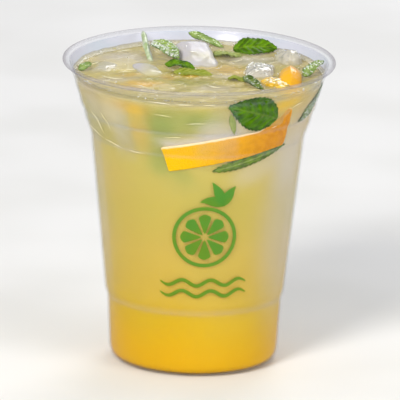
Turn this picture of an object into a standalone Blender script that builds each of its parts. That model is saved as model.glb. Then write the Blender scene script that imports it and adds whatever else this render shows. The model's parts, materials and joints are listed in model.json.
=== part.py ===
"""A clear plastic cup of mojito, filled almost to its rim.

The cup is one thin moulded sheet, turned about Z. It holds a cloudy pale drink over a layer of golden
syrup, with ice, mint and orange slices that float at the surface or lie against the wall.

The origin is the middle of the foot ring, on the surface that the cup stands on. Z points up, and the
side that faces the viewer is -Y. Lengths are in metres. An angle round the wall is measured in degrees
from the front, towards +X.
"""

import math
import random

import bmesh
import bpy
from mathutils import Matrix, Vector

MM = 0.001

# Cup
CUP_SHEET = 0.55 * MM
LIP_CENTRE = (48.4 * MM, 109.9 * MM)
LIP_ROUND = 0.6 * MM
LIP_INSIDE = (46.7 * MM, 109.8 * MM)
LIP_UNDERSIDE = (47.4 * MM, 109.2 * MM)
FLARE_TOP = (46.6 * MM, 107.8 * MM)
COLLAR_TOP = (44.9 * MM, 104.0 * MM)
COLLAR_WAIST = (44.2 * MM, 100.6 * MM)
COLLAR_LOW = (42.9 * MM, 97.0 * MM)
COLLAR_FOOT = (42.5 * MM, 94.4 * MM)
SHOULDER_TOP = (41.4 * MM, 92.9 * MM)
SHOULDER_MIDDLE = (40.7 * MM, 89.2 * MM)
SHOULDER_FOOT = (38.6 * MM, 83.8 * MM)
LOW_RING_TOP = (32.4 * MM, 25.4 * MM)
LOW_RING_FOOT = (31.6 * MM, 23.4 * MM)
CORNER_ROUND = 4.2 * MM
CORNER_CENTRE = (26.4 * MM, 4.2 * MM)
FOOT_INNER_RADIUS = 24.4 * MM
RECESS_RADIUS = 23.0 * MM
RECESS_HEIGHT = 2.2 * MM
TURN_STEPS = 48

# Drink
GAP = 0.3 * MM
DRINK_LEVEL = 105.3 * MM
SYRUP_TOP = 14.5 * MM

# What lies in the drink
CUTTER_GROWTH = 0.35 * MM
WALL_CUTTER_GROWTH = 0.8 * MM
WALL_CLEARANCE = 0.45 * MM
ICE_ROUND = 3.0 * MM
ICE_UNEVENNESS = 0.7 * MM
ICE_TAPER = 0.9
LEAF_THICKNESS = 0.6 * MM
LEAF_LENGTH_CUTS = 10
LEAF_WIDTH_CUTS = 4
LEAF_POINT = 0.14
LEAF_TOOTH = 0.1
STEM_RADIUS = 0.8 * MM
STEM_PATH = (
    (-20.6, 39.3, 110.3),
    (-19.8, 32.5, 109.2),
    (-18.9, 25.0, 107.3),
    (-17.8, 19.5, 105.4),
    (-16.8, 16.0, 103.6),
)

# The orange slice at the front, a quarter wheel with its rind on the wall
WEDGE_HEIGHT = 82.2 * MM
WEDGE_RISE = 0.203
WEDGE_FALL = 0.08
WEDGE_THICKNESS = 9.6 * MM
WEDGE_THINNING = 0.2
WEDGE_EDGE = 0.9 * MM
WEDGE_START = -17.4
WEDGE_LEAN = 2.0
WEDGE_END = 51.0
WEDGE_ARC_STEPS = 18
WEDGE_CUT_STEPS = 3
WEDGE_CORE = (0.5 * MM, -4.0 * MM)
WEDGE_INSET = 1.5 * MM
WEDGE_INSET_START = 15.0
WEDGE_INSET_END = 21.0
WEDGE_TURN_UP = 3.0 * MM
WEDGE_TURN_START = 42.0

# The orange slice at the top, half a small wheel that stands on its cut
HALF_WHEEL_RADIUS = 14.5 * MM
HALF_WHEEL_THICKNESS = 7.6 * MM
HALF_WHEEL_EDGE = 3.2 * MM
HALF_WHEEL_CENTRE = (32.8 * MM, -4.5 * MM, 95.0 * MM)
HALF_WHEEL_STEPS = 16
HALF_WHEEL_EDGE_STEPS = 4

PARTS_NAME = "mojito_cup"
CUTTERS_NAME = "cutters"


def clear_scene():
    """Removes every object of the scene."""
    for obj in list(bpy.data.objects):
        bpy.data.objects.remove(obj, do_unlink=True)


def new_collection(name):
    """A collection of the scene."""
    collection = bpy.data.collections.new(name)
    bpy.context.scene.collection.children.link(collection)
    return collection


def linear(red, green, blue):
    """The colour that a screen shows as these 0 to 255 values, as the shader takes it."""
    colour = []
    for value in (red / 255, green / 255, blue / 255):
        colour.append(value / 12.92 if value <= 0.04045 else ((value + 0.055) / 1.055) ** 2.4)
    return (*colour, 1.0)


def finish(name, colour, roughness, transmission=0.0, index=1.45):
    """A Principled material."""
    material = bpy.data.materials.new(name)
    material.use_nodes = True
    shader = material.node_tree.nodes["Principled BSDF"]
    shader.inputs["Base Color"].default_value = linear(*colour)
    shader.inputs["Roughness"].default_value = roughness
    shader.inputs["Metallic"].default_value = 0.0
    shader.inputs["Transmission Weight"].default_value = transmission
    shader.inputs["IOR"].default_value = index
    material.diffuse_color = linear(*colour)
    return material


def clear_plastic(name):
    """The cup's plastic."""
    return finish(name, (226, 230, 236), 0.08, transmission=0.95, index=1.57)


def cloudy_drink(name):
    """The drink, pale and cloudy."""
    return finish(name, (206, 190, 126), 0.15, transmission=0.3, index=1.33)


def golden_syrup(name):
    """The syrup under the drink."""
    return finish(name, (222, 176, 20), 0.15, transmission=0.3, index=1.38)


def milky_ice(name):
    """Wet ice."""
    return finish(name, (206, 206, 196), 0.12, transmission=0.6, index=1.31)


def mint_leaf_green(name):
    """A mint leaf."""
    return finish(name, (84, 122, 10), 0.45)


def mint_stem_green(name):
    """The pale stem of the mint."""
    return finish(name, (178, 193, 140), 0.4)


def orange_flesh(name):
    """An orange slice, rind and flesh."""
    return finish(name, (240, 184, 8), 0.35)


def add_object(name, data, material):
    """A new object of the cup, in its own material and shaded smooth."""
    obj = bpy.data.objects.new(name, data)
    data.materials.append(material)
    bpy.data.collections[PARTS_NAME].objects.link(obj)
    return obj


def mesh_from(bm, name):
    """The mesh of this bmesh, which is freed."""
    mesh = bpy.data.meshes.new(name)
    bm.normal_update()
    bm.to_mesh(mesh)
    bm.free()
    mesh.shade_smooth()
    return mesh


def arc(centre, radius, start, end, steps):
    """Points of (radius, height) on an arc, from one angle in degrees to another."""
    points = []
    for step in range(steps + 1):
        angle = math.radians(start + (end - start) * step / steps)
        points.append((centre[0] + radius * math.cos(angle), centre[1] + radius * math.sin(angle)))
    return points


def offset_line(points, distance):
    """The line of (radius, height) points, moved by a distance towards the drink."""
    normals = []
    for (radius, height), (next_radius, next_height) in zip(points, points[1:]):
        length = math.hypot(next_radius - radius, next_height - height)
        normals.append(Vector(((next_height - height) / length, (radius - next_radius) / length)))
    moved = []
    for index, (radius, height) in enumerate(points):
        before = normals[max(index - 1, 0)]
        after = normals[min(index, len(normals) - 1)]
        mitre = (before + after).normalized()
        step = mitre * (distance / mitre.dot(after))
        moved.append((radius + step.x, height + step.y))
    moved[-1] = (0.0, moved[-1][1])
    return moved


def sheet_line():
    """The outer face of the cup's sheet, from under the lip down to the middle of the base."""
    line = [FLARE_TOP, COLLAR_TOP, COLLAR_WAIST, COLLAR_LOW, COLLAR_FOOT, SHOULDER_TOP]
    line += [SHOULDER_MIDDLE, SHOULDER_FOOT, LOW_RING_TOP, LOW_RING_FOOT]
    line += arc(CORNER_CENTRE, CORNER_ROUND, 0, -90, 3)
    line += [(FOOT_INNER_RADIUS, 0.0), (RECESS_RADIUS, RECESS_HEIGHT), (0.0, RECESS_HEIGHT)]
    return line


def lining(inset, top, bottom):
    """The line that lies inset from the inner face of the wall, from one height down to another."""
    line = offset_line(sheet_line(), CUP_SHEET + inset)
    points = [(wall_radius(top, inset), top)]
    points += [point for point in line if bottom < point[1] < top]
    points.append((wall_radius(bottom, inset), bottom))
    return points


def wall_radius(height, inset):
    """The radius of the wall's inner face at this height, less an inset."""
    line = offset_line(sheet_line(), CUP_SHEET + inset)
    for (upper_radius, upper), (lower_radius, lower) in zip(line, line[1:]):
        if lower <= height:
            share = (height - lower) / (upper - lower)
            return lower_radius + (upper_radius - lower_radius) * share
    return line[-1][0]


def wall_point(angle, height, inset):
    """The point at this angle and height, inset from the wall's inner face."""
    radius = wall_radius(height, inset)
    turn = math.radians(angle)
    return Vector((radius * math.sin(turn), -radius * math.cos(turn), height))


def turned(name, profile, material):
    """A solid turned about Z. The profile of (radius, height) points runs down its outer side."""
    mesh = bpy.data.meshes.new(name)
    corners = [(radius, 0.0, height) for radius, height in profile]
    mesh.from_pydata(corners, [(index, index + 1) for index in range(len(corners) - 1)], [])
    obj = add_object(name, mesh, material)
    screw = obj.modifiers.new("Turn", "SCREW")
    screw.steps = TURN_STEPS
    screw.render_steps = TURN_STEPS
    screw.use_merge_vertices = True
    screw.merge_threshold = 0.05 * MM
    screw.use_smooth_shade = True
    return obj


def cup():
    """The cup: a sheet of even thickness with a rounded lip."""
    outside = sheet_line()
    inside = offset_line(outside, CUP_SHEET)
    inside.reverse()
    lip = [LIP_INSIDE] + arc(LIP_CENTRE, LIP_ROUND, 110, -90, 4) + [LIP_UNDERSIDE]
    return turned("cup", inside + lip + outside, clear_plastic("cup"))


def drink():
    """The cloudy drink, from the syrup up to its level."""
    floor = SYRUP_TOP + GAP
    profile = [(0.0, DRINK_LEVEL)] + lining(GAP, DRINK_LEVEL, floor) + [(0.0, floor)]
    return turned("drink", profile, cloudy_drink("drink"))


def syrup():
    """The golden syrup that fills the base."""
    below = [point for point in offset_line(sheet_line(), CUP_SHEET + GAP) if point[1] < SYRUP_TOP]
    profile = [(0.0, SYRUP_TOP), (wall_radius(SYRUP_TOP, GAP), SYRUP_TOP)] + below
    return turned("syrup", profile, golden_syrup("syrup"))


def ice_block(name, size, centre, turn, seed):
    """A half melted block of ice, its corners a little out of true.

    The size and centre are in millimetres and the turn about X, Y and Z in degrees.
    """
    draw = random.Random(seed)
    bm = bmesh.new()
    bmesh.ops.create_cube(bm, size=1.0)
    for vert in bm.verts:
        narrow = ICE_TAPER if vert.co.z < 0 else 1.0
        corner = Vector(size) * Vector((narrow, narrow, 1.0)) * vert.co
        drift = Vector((draw.uniform(-1, 1), draw.uniform(-1, 1), draw.uniform(-1, 1)))
        vert.co = corner * MM + drift * ICE_UNEVENNESS
    obj = add_object(name, mesh_from(bm, name), milky_ice(name))
    obj.location = Vector(centre) * MM
    obj.rotation_euler = [math.radians(angle) for angle in turn]
    melt = obj.modifiers.new("Melted edges", "BEVEL")
    melt.width = ICE_ROUND
    melt.segments = 3
    melt.limit_method = "NONE"
    return obj


def leaf_half_width(share, row):
    """The half width of a leaf, of 1 at most, this share of the way from its base to its tip.

    Every second row of points stands out a little as a tooth of the leaf's edge.
    """
    belly = math.sin(math.pi * share**0.8) if 0.0 < share < 1.0 else 0.0
    tooth = LEAF_TOOTH * (row % 2) * belly
    return max(LEAF_POINT, belly**0.8 + tooth)


def leaf_grid():
    """A flat grid, with the row and share along the leaf and the share across of each point."""
    bm = bmesh.new()
    bmesh.ops.create_grid(bm, x_segments=LEAF_LENGTH_CUTS, y_segments=LEAF_WIDTH_CUTS, size=0.5)
    places = []
    for vert in bm.verts:
        share = vert.co.x + 0.5
        places.append((vert, round(share * LEAF_LENGTH_CUTS), share, vert.co.y * 2))
    return bm, places


def thicken(obj, offset):
    """Gives a leaf its thickness, on both sides for an offset of 0 or inwards for -1."""
    solid = obj.modifiers.new("Thickness", "SOLIDIFY")
    solid.thickness = LEAF_THICKNESS
    solid.offset = offset
    return obj


def leaf(name, base, tip, width, facing=(0, 0, 1), arch=0.8, fold=0.5, ripple=0.4):
    """A loose mint leaf from its base to its tip, which faces a direction. Sizes are in millimetres.

    The arch lifts its middle, the fold lifts its sides along the midrib and the ripple waves its edges.
    """
    base = Vector(base) * MM
    along = Vector(tip) * MM - base
    length = along.length
    bm, places = leaf_grid()
    for vert, row, share, across in places:
        half = leaf_half_width(share, row) * width * MM / 2
        rise = arch * 4 * share * (1 - share) + fold * abs(across) * math.sin(math.pi * share)
        rise += ripple * across * math.sin(3 * math.pi * share)
        vert.co = Vector((share * length, across * half, rise * MM))
    bmesh.ops.triangulate(bm, faces=bm.faces[:])
    obj = add_object(name, mesh_from(bm, name), mint_leaf_green(name))
    forward = along.normalized()
    side = Vector(facing).cross(forward).normalized()
    turn = Matrix((forward, side, forward.cross(side))).transposed()
    obj.location = base
    obj.rotation_euler = turn.to_euler()
    return thicken(obj, 0)


def wall_leaf(name, start, end, width, inset=0.0, ripple=0.0):
    """A mint leaf that lies on the wall, between two places of (angle, height). Lengths are in millimetres."""
    spread = wall_radius((start[1] + end[1]) / 2 * MM, 0.0) / MM
    first = Vector((math.radians(start[0]) * spread, start[1]))
    along = Vector((math.radians(end[0]) * spread, end[1])) - first
    across_wall = Vector((-along.y, along.x)).normalized()
    bm, places = leaf_grid()
    for vert, row, share, across in places:
        half = leaf_half_width(share, row) * width / 2
        wave = ripple * across * math.sin(2 * math.pi * share)
        place = first + along * share + across_wall * (across * half + wave)
        vert.co = wall_point(math.degrees(place.x / spread), place.y * MM, WALL_CLEARANCE + inset * MM)
    bmesh.ops.triangulate(bm, faces=bm.faces[:])
    return thicken(add_object(name, mesh_from(bm, name), mint_leaf_green(name)), -1)


def wedge_height(x, y):
    """The height of the front slice's middle plane above a point of the base."""
    return WEDGE_HEIGHT + WEDGE_RISE * x - WEDGE_FALL * y


def smooth_step(value, start, end):
    """Rises smoothly from 0 at start to 1 at end."""
    share = min(max((value - start) / (end - start), 0.0), 1.0)
    return share * share * (3 - 2 * share)


def rind_point(angle, level, shrink):
    """A point of the front slice's rind, this level above the slice's middle plane and drawn in by shrink."""
    inset = WALL_CLEARANCE + WEDGE_INSET * smooth_step(angle, WEDGE_INSET_START, WEDGE_INSET_END)
    level *= 1 - WEDGE_THINNING * smooth_step(angle, WEDGE_INSET_START, WEDGE_END)
    if level > 0:
        level += WEDGE_TURN_UP * smooth_step(angle, WEDGE_TURN_START, WEDGE_END)
    point = wall_point(angle, WEDGE_HEIGHT + level, inset + shrink)
    for _ in range(4):
        point = wall_point(angle, wedge_height(point.x, point.y) + level, inset + shrink)
    return point


def wedge_outline(level, shrink):
    """The front slice's outline at a level: along the rind, then along its two cuts by way of the core."""
    start = WEDGE_START - WEDGE_LEAN * level / (WEDGE_THICKNESS / 2)
    span = WEDGE_END - start
    angles = [start + span * step / WEDGE_ARC_STEPS for step in range(WEDGE_ARC_STEPS + 1)]
    points = [rind_point(angle, level, shrink) for angle in angles]
    first = points[0]
    last = points[-1]
    core = Vector((*WEDGE_CORE, wedge_height(*WEDGE_CORE) + level))
    pull = shrink / (core - first).length
    core = core.lerp((first + last) / 2, 2 * pull)
    points += [last.lerp(core, step / WEDGE_CUT_STEPS) for step in range(1, WEDGE_CUT_STEPS + 1)]
    points += [core.lerp(first, step / WEDGE_CUT_STEPS) for step in range(1, WEDGE_CUT_STEPS)]
    return points


def loft(name, outlines, material):
    """A solid through outlines of equal point counts, from the lowest to the highest."""
    bm = bmesh.new()
    rings = [[bm.verts.new(point) for point in outline] for outline in outlines]
    for lower, upper in zip(rings, rings[1:]):
        for index in range(len(lower)):
            after = (index + 1) % len(lower)
            bm.faces.new((lower[index], lower[after], upper[after], upper[index]))
    bm.faces.new(reversed(rings[0]))
    bm.faces.new(rings[-1])
    bmesh.ops.triangulate(bm, faces=bm.faces[:])
    return add_object(name, mesh_from(bm, name), material)


def orange_slice_front():
    """The quarter wheel of orange whose rind shows as a band through the front of the cup."""
    half = WEDGE_THICKNESS / 2
    inner = half - WEDGE_EDGE
    levels = ((-half, WEDGE_EDGE), (-inner, 0), (0, 0), (inner, 0), (half, WEDGE_EDGE))
    outlines = [wedge_outline(level, shrink) for level, shrink in levels]
    return loft("orange_slice_front", outlines, orange_flesh("orange_slice_front"))


def half_wheel_outline(offset, shrink):
    """Half a circle that stands on its straight side, this far to the side of the half wheel's middle."""
    x, y, z = HALF_WHEEL_CENTRE
    radius = HALF_WHEEL_RADIUS - shrink
    outline = arc((y, z), radius, 0, 180, HALF_WHEEL_STEPS)
    return [Vector((x + offset, across, height)) for across, height in outline]


def orange_slice_top():
    """The half wheel of orange that stands up out of the drink at the right, with a rounded rind."""
    outlines = []
    outward = range(HALF_WHEEL_EDGE_STEPS + 1)
    for side, turns in ((-1, outward), (1, reversed(outward))):
        for turn in turns:
            angle = math.radians(90 * turn / HALF_WHEEL_EDGE_STEPS)
            offset = HALF_WHEEL_THICKNESS / 2 - HALF_WHEEL_EDGE * (1 - math.cos(angle))
            outlines.append(half_wheel_outline(side * offset, HALF_WHEEL_EDGE * (1 - math.sin(angle))))
    return loft("orange_slice_top", outlines, orange_flesh("orange_slice_top"))


def mint_stem():
    """The bare stem that leans from the drink on the back of the rim."""
    data = bpy.data.curves.new("mint_stem", "CURVE")
    data.dimensions = "3D"
    data.bevel_depth = STEM_RADIUS
    data.bevel_resolution = 2
    data.resolution_u = 3
    data.use_fill_caps = True
    spline = data.splines.new("BEZIER")
    spline.bezier_points.add(len(STEM_PATH) - 1)
    for point, place in zip(spline.bezier_points, STEM_PATH):
        point.co = Vector(place) * MM
        point.handle_left_type = "AUTO"
        point.handle_right_type = "AUTO"
    guide = bpy.data.objects.new("mint_stem_guide", data)
    bpy.data.collections[PARTS_NAME].objects.link(guide)
    bpy.context.view_layer.update()
    graph = bpy.context.evaluated_depsgraph_get()
    mesh = bpy.data.meshes.new_from_object(guide.evaluated_get(graph))
    bpy.data.objects.remove(guide, do_unlink=True)
    bm = bmesh.new()
    bm.from_mesh(mesh)
    bmesh.ops.remove_doubles(bm, verts=bm.verts[:], dist=0.01 * MM)
    bpy.data.meshes.remove(mesh)
    return add_object("mint_stem", mesh_from(bm, "mint_stem"), mint_stem_green("mint_stem"))


def ice():
    """The blocks of ice that float at the surface."""
    return [
        ice_block("ice_back_center", (15, 25, 17), (-0.8, 21.0, 99.3), (13, 0, 12), seed=3),
        ice_block("ice_left", (11, 19, 17), (-18.6, 5.0, 97.8), (3, 2, 20), seed=5),
        ice_block("ice_right", (12, 19, 18), (21.6, 4.4, 98.2), (-3, 4, -4), seed=8),
        ice_block("ice_back_right", (8.5, 14, 11), (32.0, 20.8, 104.2), (0, 0, 33), seed=11),
        ice_block("ice_far_left", (11, 17, 15), (-34.0, 6.0, 98.2), (2, -3, -12), seed=14),
    ]


def loose_mint():
    """The stem and the loose leaves at the surface."""
    return [
        mint_stem(),
        leaf("mint_leaf_frosted", (-16.6, 27.0, 110.0), (-7.4, 13.4, 107.2), 7.4, (0.1, -0.4, 1)),
        leaf("mint_leaf_center", (-12.2, 8.0, 106.4), (-1.6, 4.0, 106.1), 4.6, (0, -0.35, 1)),
        leaf("mint_leaf_back", (-4.0, 40.4, 110.0), (8.6, 35.4, 106.1), 3.4, (0, -0.6, 1), arch=0.3),
        leaf("mint_leaf_back_right", (12.2, 32.4, 106.3), (28.0, 33.2, 106.8), 9.4, (0, -0.5, 1)),
        leaf("mint_leaf_right_wall", (37.6, -4.0, 105.9), (44.5, 5.4, 109.3), 5.2, (-0.5, -0.6, 0.8)),
        leaf("mint_leaf_far_left", (-43.1, -1, 106), (-38.6, 5, 106.7), 2.8, (0.3, -0.6, 1), arch=0.3),
        leaf("mint_leaf_glint", (15.9, -8.4, 106.5), (22.9, -24.0, 106.1), 3.4, (-0.6, 0, 1), arch=0.4),
    ]


def wall_mint():
    """The leaves that lie on the wall under the surface."""
    return [
        wall_leaf("mint_leaf_front", (41.0, 97.6), (14.3, 104.2), 12.6),
        wall_leaf("mint_leaf_under_slice", (8.5, 78.8), (53.0, 85.8), 3.6),
        wall_leaf("mint_leaf_right_edge", (60.0, 93.6), (86.5, 103.2), 5.5),
    ]


def cut_round(body, pieces, growth):
    """Cuts the drink clear of each piece, with a copy of it that is grown by this much."""
    cutters = bpy.data.collections[CUTTERS_NAME]
    for piece in pieces:
        cutter = piece.copy()
        cutter.data = piece.data.copy()
        cutter.name = piece.name + "_clearance"
        cutters.objects.link(cutter)
        cutter.hide_render = True
        cutter.display_type = "WIRE"
        grow = cutter.modifiers.new("Growth", "DISPLACE")
        grow.strength = growth
        grow.mid_level = 0.0
        cut = body.modifiers.new(piece.name, "BOOLEAN")
        cut.operation = "DIFFERENCE"
        cut.object = cutter


def main():
    """Builds the cup, its drink and what lies in it."""
    clear_scene()
    new_collection(PARTS_NAME)
    new_collection(CUTTERS_NAME)
    cup()
    syrup()
    body = drink()
    cut_round(body, ice() + loose_mint() + [orange_slice_top()], CUTTER_GROWTH)
    cut_round(body, wall_mint() + [orange_slice_front()], WALL_CUTTER_GROWTH)


main()
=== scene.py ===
"""A clear plastic cup of mojito with mint, ice and orange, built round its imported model.

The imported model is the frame: every piece made here rides on its one body, and a piece that stands for a node
names it. Lengths are in millimetres until a mesh is made, when they become metres. An angle round the wall is
in degrees from the front, -Y, towards +X.
"""

import json
import logging
import math
import random
from collections.abc import Callable, Iterable, Sequence
from dataclasses import dataclass, field
from enum import Enum
from functools import lru_cache

import bmesh
import bpy
import numpy as np
from bpy.types import Material, Mesh, Node, NodeSocket, NodeTree, Object
from mathutils import Matrix, Vector, noise

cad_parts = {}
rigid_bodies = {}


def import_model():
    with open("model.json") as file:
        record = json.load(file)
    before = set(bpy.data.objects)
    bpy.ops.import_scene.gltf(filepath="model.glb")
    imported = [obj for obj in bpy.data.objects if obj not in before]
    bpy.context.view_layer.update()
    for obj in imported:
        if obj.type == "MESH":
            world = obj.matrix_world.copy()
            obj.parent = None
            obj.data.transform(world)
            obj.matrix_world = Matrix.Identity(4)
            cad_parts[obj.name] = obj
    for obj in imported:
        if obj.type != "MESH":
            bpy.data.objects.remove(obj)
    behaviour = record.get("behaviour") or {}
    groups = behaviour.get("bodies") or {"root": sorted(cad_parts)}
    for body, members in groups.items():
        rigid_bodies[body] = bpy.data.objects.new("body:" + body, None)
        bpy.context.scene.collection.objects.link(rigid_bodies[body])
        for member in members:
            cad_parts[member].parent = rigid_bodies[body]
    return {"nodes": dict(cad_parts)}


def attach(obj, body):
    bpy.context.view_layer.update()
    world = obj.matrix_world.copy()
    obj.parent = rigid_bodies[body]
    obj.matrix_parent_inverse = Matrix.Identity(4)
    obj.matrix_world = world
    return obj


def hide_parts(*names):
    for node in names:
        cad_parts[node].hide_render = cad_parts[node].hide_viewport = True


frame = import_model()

LOG = logging.getLogger("mojito")
MM = 0.001
BODY = "root"

# The height that the looks of the plastic run up to, a little over the rim, and the drink's own level
PLASTIC_SPAN = 112.0
DRINK_LEVEL = 105.3

Point = tuple[float, float]
Place = tuple[float, float, float]
Rgba = tuple[float, float, float, float]
Faces = list[list[int]]
Number = float | np.ndarray
Level = float | NodeSocket
Shade = Rgba | NodeSocket
Sheet = tuple[np.ndarray, np.ndarray, dict[str, np.ndarray]]


def display(red: float, green: float, blue: float) -> Rgba:
    """A colour as a shader takes it.

    Args:
        red: the value from 0 to 255 that a screen shows it with.
        green: the same for green.
        blue: the same for blue.

    Returns:
        The linear colour, not see-through.
    """
    values = []
    for value in (red / 255, green / 255, blue / 255):
        values.append(value / 12.92 if value <= 0.04045 else ((value + 0.055) / 1.055) ** 2.4)
    return (values[0], values[1], values[2], 1.0)


def smooth_step(value: Number, start: float, end: float) -> Number:
    """Rises smoothly from 0 at start to 1 at end, for a number or an array."""
    share = np.clip((value - start) / (end - start), 0.0, 1.0)
    return share * share * (3 - 2 * share)


def noise_at(points: np.ndarray, scale: float, seed: float = 0.0) -> np.ndarray:
    """Smooth noise in space.

    Args:
        points: the places.
        scale: how many features a unit of length has.
        seed: picks another noise.

    Returns:
        The noise, from -1 to 1, at each point.
    """
    shift = Vector((seed * 7.1, seed * 3.3, seed * 5.7))
    return np.array([noise.noise(Vector(point) * scale + shift) for point in points])


# Shader trees


class Tree:
    """A shader node tree that is filled a node at a time."""

    def __init__(self, tree: NodeTree) -> None:
        """Starts on an empty or new node tree."""
        self.tree = tree

    def join(self, source: NodeSocket, node: Node, name: str | int) -> None:
        """Links a socket to the input of this name or number on a node."""
        self.tree.links.new(source, node.inputs[name])

    def add(
        self,
        kind: str,
        inputs: dict[str | int, Level | Shade] | None = None,
        **settings: str | bool | NodeTree,
    ) -> Node:
        """Adds a node.

        Args:
            kind: the node's type, without its ShaderNode prefix.
            inputs: sockets to link, or values to set, by input name or number.
            settings: the node's own properties.

        Returns:
            The new node.
        """
        node = self.tree.nodes.new("ShaderNode" + kind)
        for name, value in settings.items():
            setattr(node, name, value)
        for key, value in (inputs or {}).items():
            if isinstance(value, NodeSocket):
                self.join(value, node, key)
            else:
                node.inputs[key].default_value = value
        return node

    def math(self, operation: str, first: Level, second: Level = 0.0, clamp: bool = False) -> NodeSocket:
        """The result of a Math node on two sockets or numbers."""
        return self.add("Math", {0: first, 1: second}, operation=operation, use_clamp=clamp).outputs[0]

    def mix(self, factor: Level, first: Shade, second: Shade) -> NodeSocket:
        """The result of mixing two colours by a factor."""
        return self.add("Mix", {0: factor, 6: first, 7: second}, data_type="RGBA").outputs[2]

    def ramp(self, value: NodeSocket, stops: Iterable[tuple[float, Rgba]]) -> NodeSocket:
        """The colour of a ramp at a value.

        Args:
            value: where on the ramp, from 0 to 1.
            stops: the ramp's places and their colours.

        Returns:
            The colour's socket.
        """
        node = self.add("ValToRGB", {0: value})
        elements = node.color_ramp.elements
        for index, (place, colour) in enumerate(stops):
            element = elements[index] if index < 2 else elements.new(place)
            element.position = place
            element.color = colour
        return node.outputs["Color"]

    def level(self, value: NodeSocket, stops: Iterable[Point]) -> NodeSocket:
        """The grey level of a ramp with these stops at a value."""
        grey = [(place, (amount, amount, amount, 1.0)) for place, amount in stops]
        # The Math node turns the grey colour into a number.
        return self.math("MULTIPLY", self.ramp(value, grey), 1.0)

    def attribute(self, name: str) -> NodeSocket:
        """The number that the mesh stores at each point under this name."""
        return self.add("Attribute", attribute_name=name).outputs["Fac"]

    def place(self) -> NodeSocket:
        """The position on the object, in metres."""
        return self.add("TexCoord").outputs["Object"]


class Effects:
    """Shader node groups that several materials share. Each is made once."""

    made: dict[str, NodeTree] = {}

    @classmethod
    def use(
        cls,
        tree: Tree,
        name: str,
        values: dict[str, float],
        result: tuple[str, str],
        fill: Callable[[Tree, Node, Node], None],
    ) -> NodeSocket:
        """Puts a node group in a material, and makes the group the first time.

        Args:
            tree: the material's tree.
            name: the group's name.
            values: the group's inputs with this material's values.
            result: the name and the socket type of its output.
            fill: makes the group's nodes, given its Tree, its input node and its output node.

        Returns:
            The output's socket.
        """
        if name not in cls.made:
            group = bpy.data.node_groups.new(name, "ShaderNodeTree")
            for socket in values:
                group.interface.new_socket(socket, in_out="INPUT", socket_type="NodeSocketFloat")
            group.interface.new_socket(result[0], in_out="OUTPUT", socket_type=result[1])
            start = group.nodes.new("NodeGroupInput")
            end = group.nodes.new("NodeGroupOutput")
            fill(Tree(group), start, end)
            cls.made[name] = group
        node = tree.add("Group", node_tree=cls.made[name])
        for socket, value in values.items():
            node.inputs[socket].default_value = value
        return node.outputs[result[0]]

    @classmethod
    def relief(
        cls, tree: Tree, scale: float, depth: float, share: float = 0.5, spread: float = 0.0
    ) -> NodeSocket:
        """A normal roughened by noise at two sizes.

        Args:
            tree: the material's tree.
            scale: how many features a metre the coarse noise has.
            depth: the height of the relief in metres.
            share: how much of the height the fine noise has.
            spread: how far the coarse noise is distorted.

        Returns:
            The normal's socket.
        """

        def fill(inner: Tree, start: Node, end: Node) -> None:
            """Adds coarse and fine noise as the height of a bump."""
            where = inner.place()
            size, twist = start.outputs["Scale"], start.outputs["Spread"]
            coarse = inner.add("TexNoise", {"Vector": where, "Scale": size, "Distortion": twist})
            fine_scale = inner.math("MULTIPLY", size, 5.0)
            fine = inner.add("TexNoise", {"Vector": where, "Scale": fine_scale, "Detail": 3.0})
            part = inner.math("MULTIPLY", fine.outputs["Fac"], start.outputs["Fine share"])
            height = inner.math("ADD", coarse.outputs["Fac"], part)
            bump = inner.add("Bump", {"Height": height, "Distance": start.outputs["Depth"], "Strength": 1.0})
            inner.join(bump.outputs["Normal"], end, "Normal")

        values = {"Scale": scale, "Depth": depth, "Fine share": share, "Spread": spread}
        return cls.use(tree, "surface_relief", values, ("Normal", "NodeSocketVector"), fill)

    @classmethod
    def mottle(
        cls, tree: Tree, scale: float, low: float = 0.35, high: float = 0.65, stretch: float = 1.0
    ) -> NodeSocket:
        """A mask of soft patches.

        Args:
            tree: the material's tree.
            scale: how many patches a metre.
            low: the noise value that becomes 0.
            high: the noise value that becomes 1.
            stretch: how much taller than wide the patches are.

        Returns:
            The mask's socket.
        """

        def fill(inner: Tree, start: Node, end: Node) -> None:
            """Adds soft noise between two values, stretched upward."""
            squeeze = inner.math("DIVIDE", 1.0, start.outputs["Stretch"])
            scaling = inner.add("CombineXYZ", {0: 1.0, 1: 1.0, 2: squeeze})
            where = inner.add("VectorMath", {0: inner.place(), 1: scaling.outputs[0]}, operation="MULTIPLY")
            settings = {"Vector": where.outputs[0], "Scale": start.outputs["Scale"], "Detail": 1.5}
            patches = inner.add("TexNoise", settings)
            bounds = {"Value": patches.outputs["Fac"], 1: start.outputs["Low"], 2: start.outputs["High"]}
            mask = inner.add("MapRange", bounds, interpolation_type="SMOOTHSTEP")
            inner.join(mask.outputs["Result"], end, "Mask")

        values = {"Scale": scale, "Low": low, "High": high, "Stretch": stretch}
        return cls.use(tree, "soft_patches", values, ("Mask", "NodeSocketFloat"), fill)

    @classmethod
    def height(cls, tree: Tree, top: float) -> NodeSocket:
        """How far up the object a point is.

        Args:
            tree: the material's tree.
            top: the height in metres that becomes 1. The base is 0.

        Returns:
            The share's socket.
        """

        def fill(inner: Tree, start: Node, end: Node) -> None:
            """Divides the place's height by the top's."""
            parts = inner.add("SeparateXYZ", {0: inner.place()})
            share = inner.math("DIVIDE", parts.outputs["Z"], start.outputs["Top"])
            inner.join(share, end, "Share")

        return cls.use(tree, "height_share", {"Top": top}, ("Share", "NodeSocketFloat"), fill)


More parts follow.
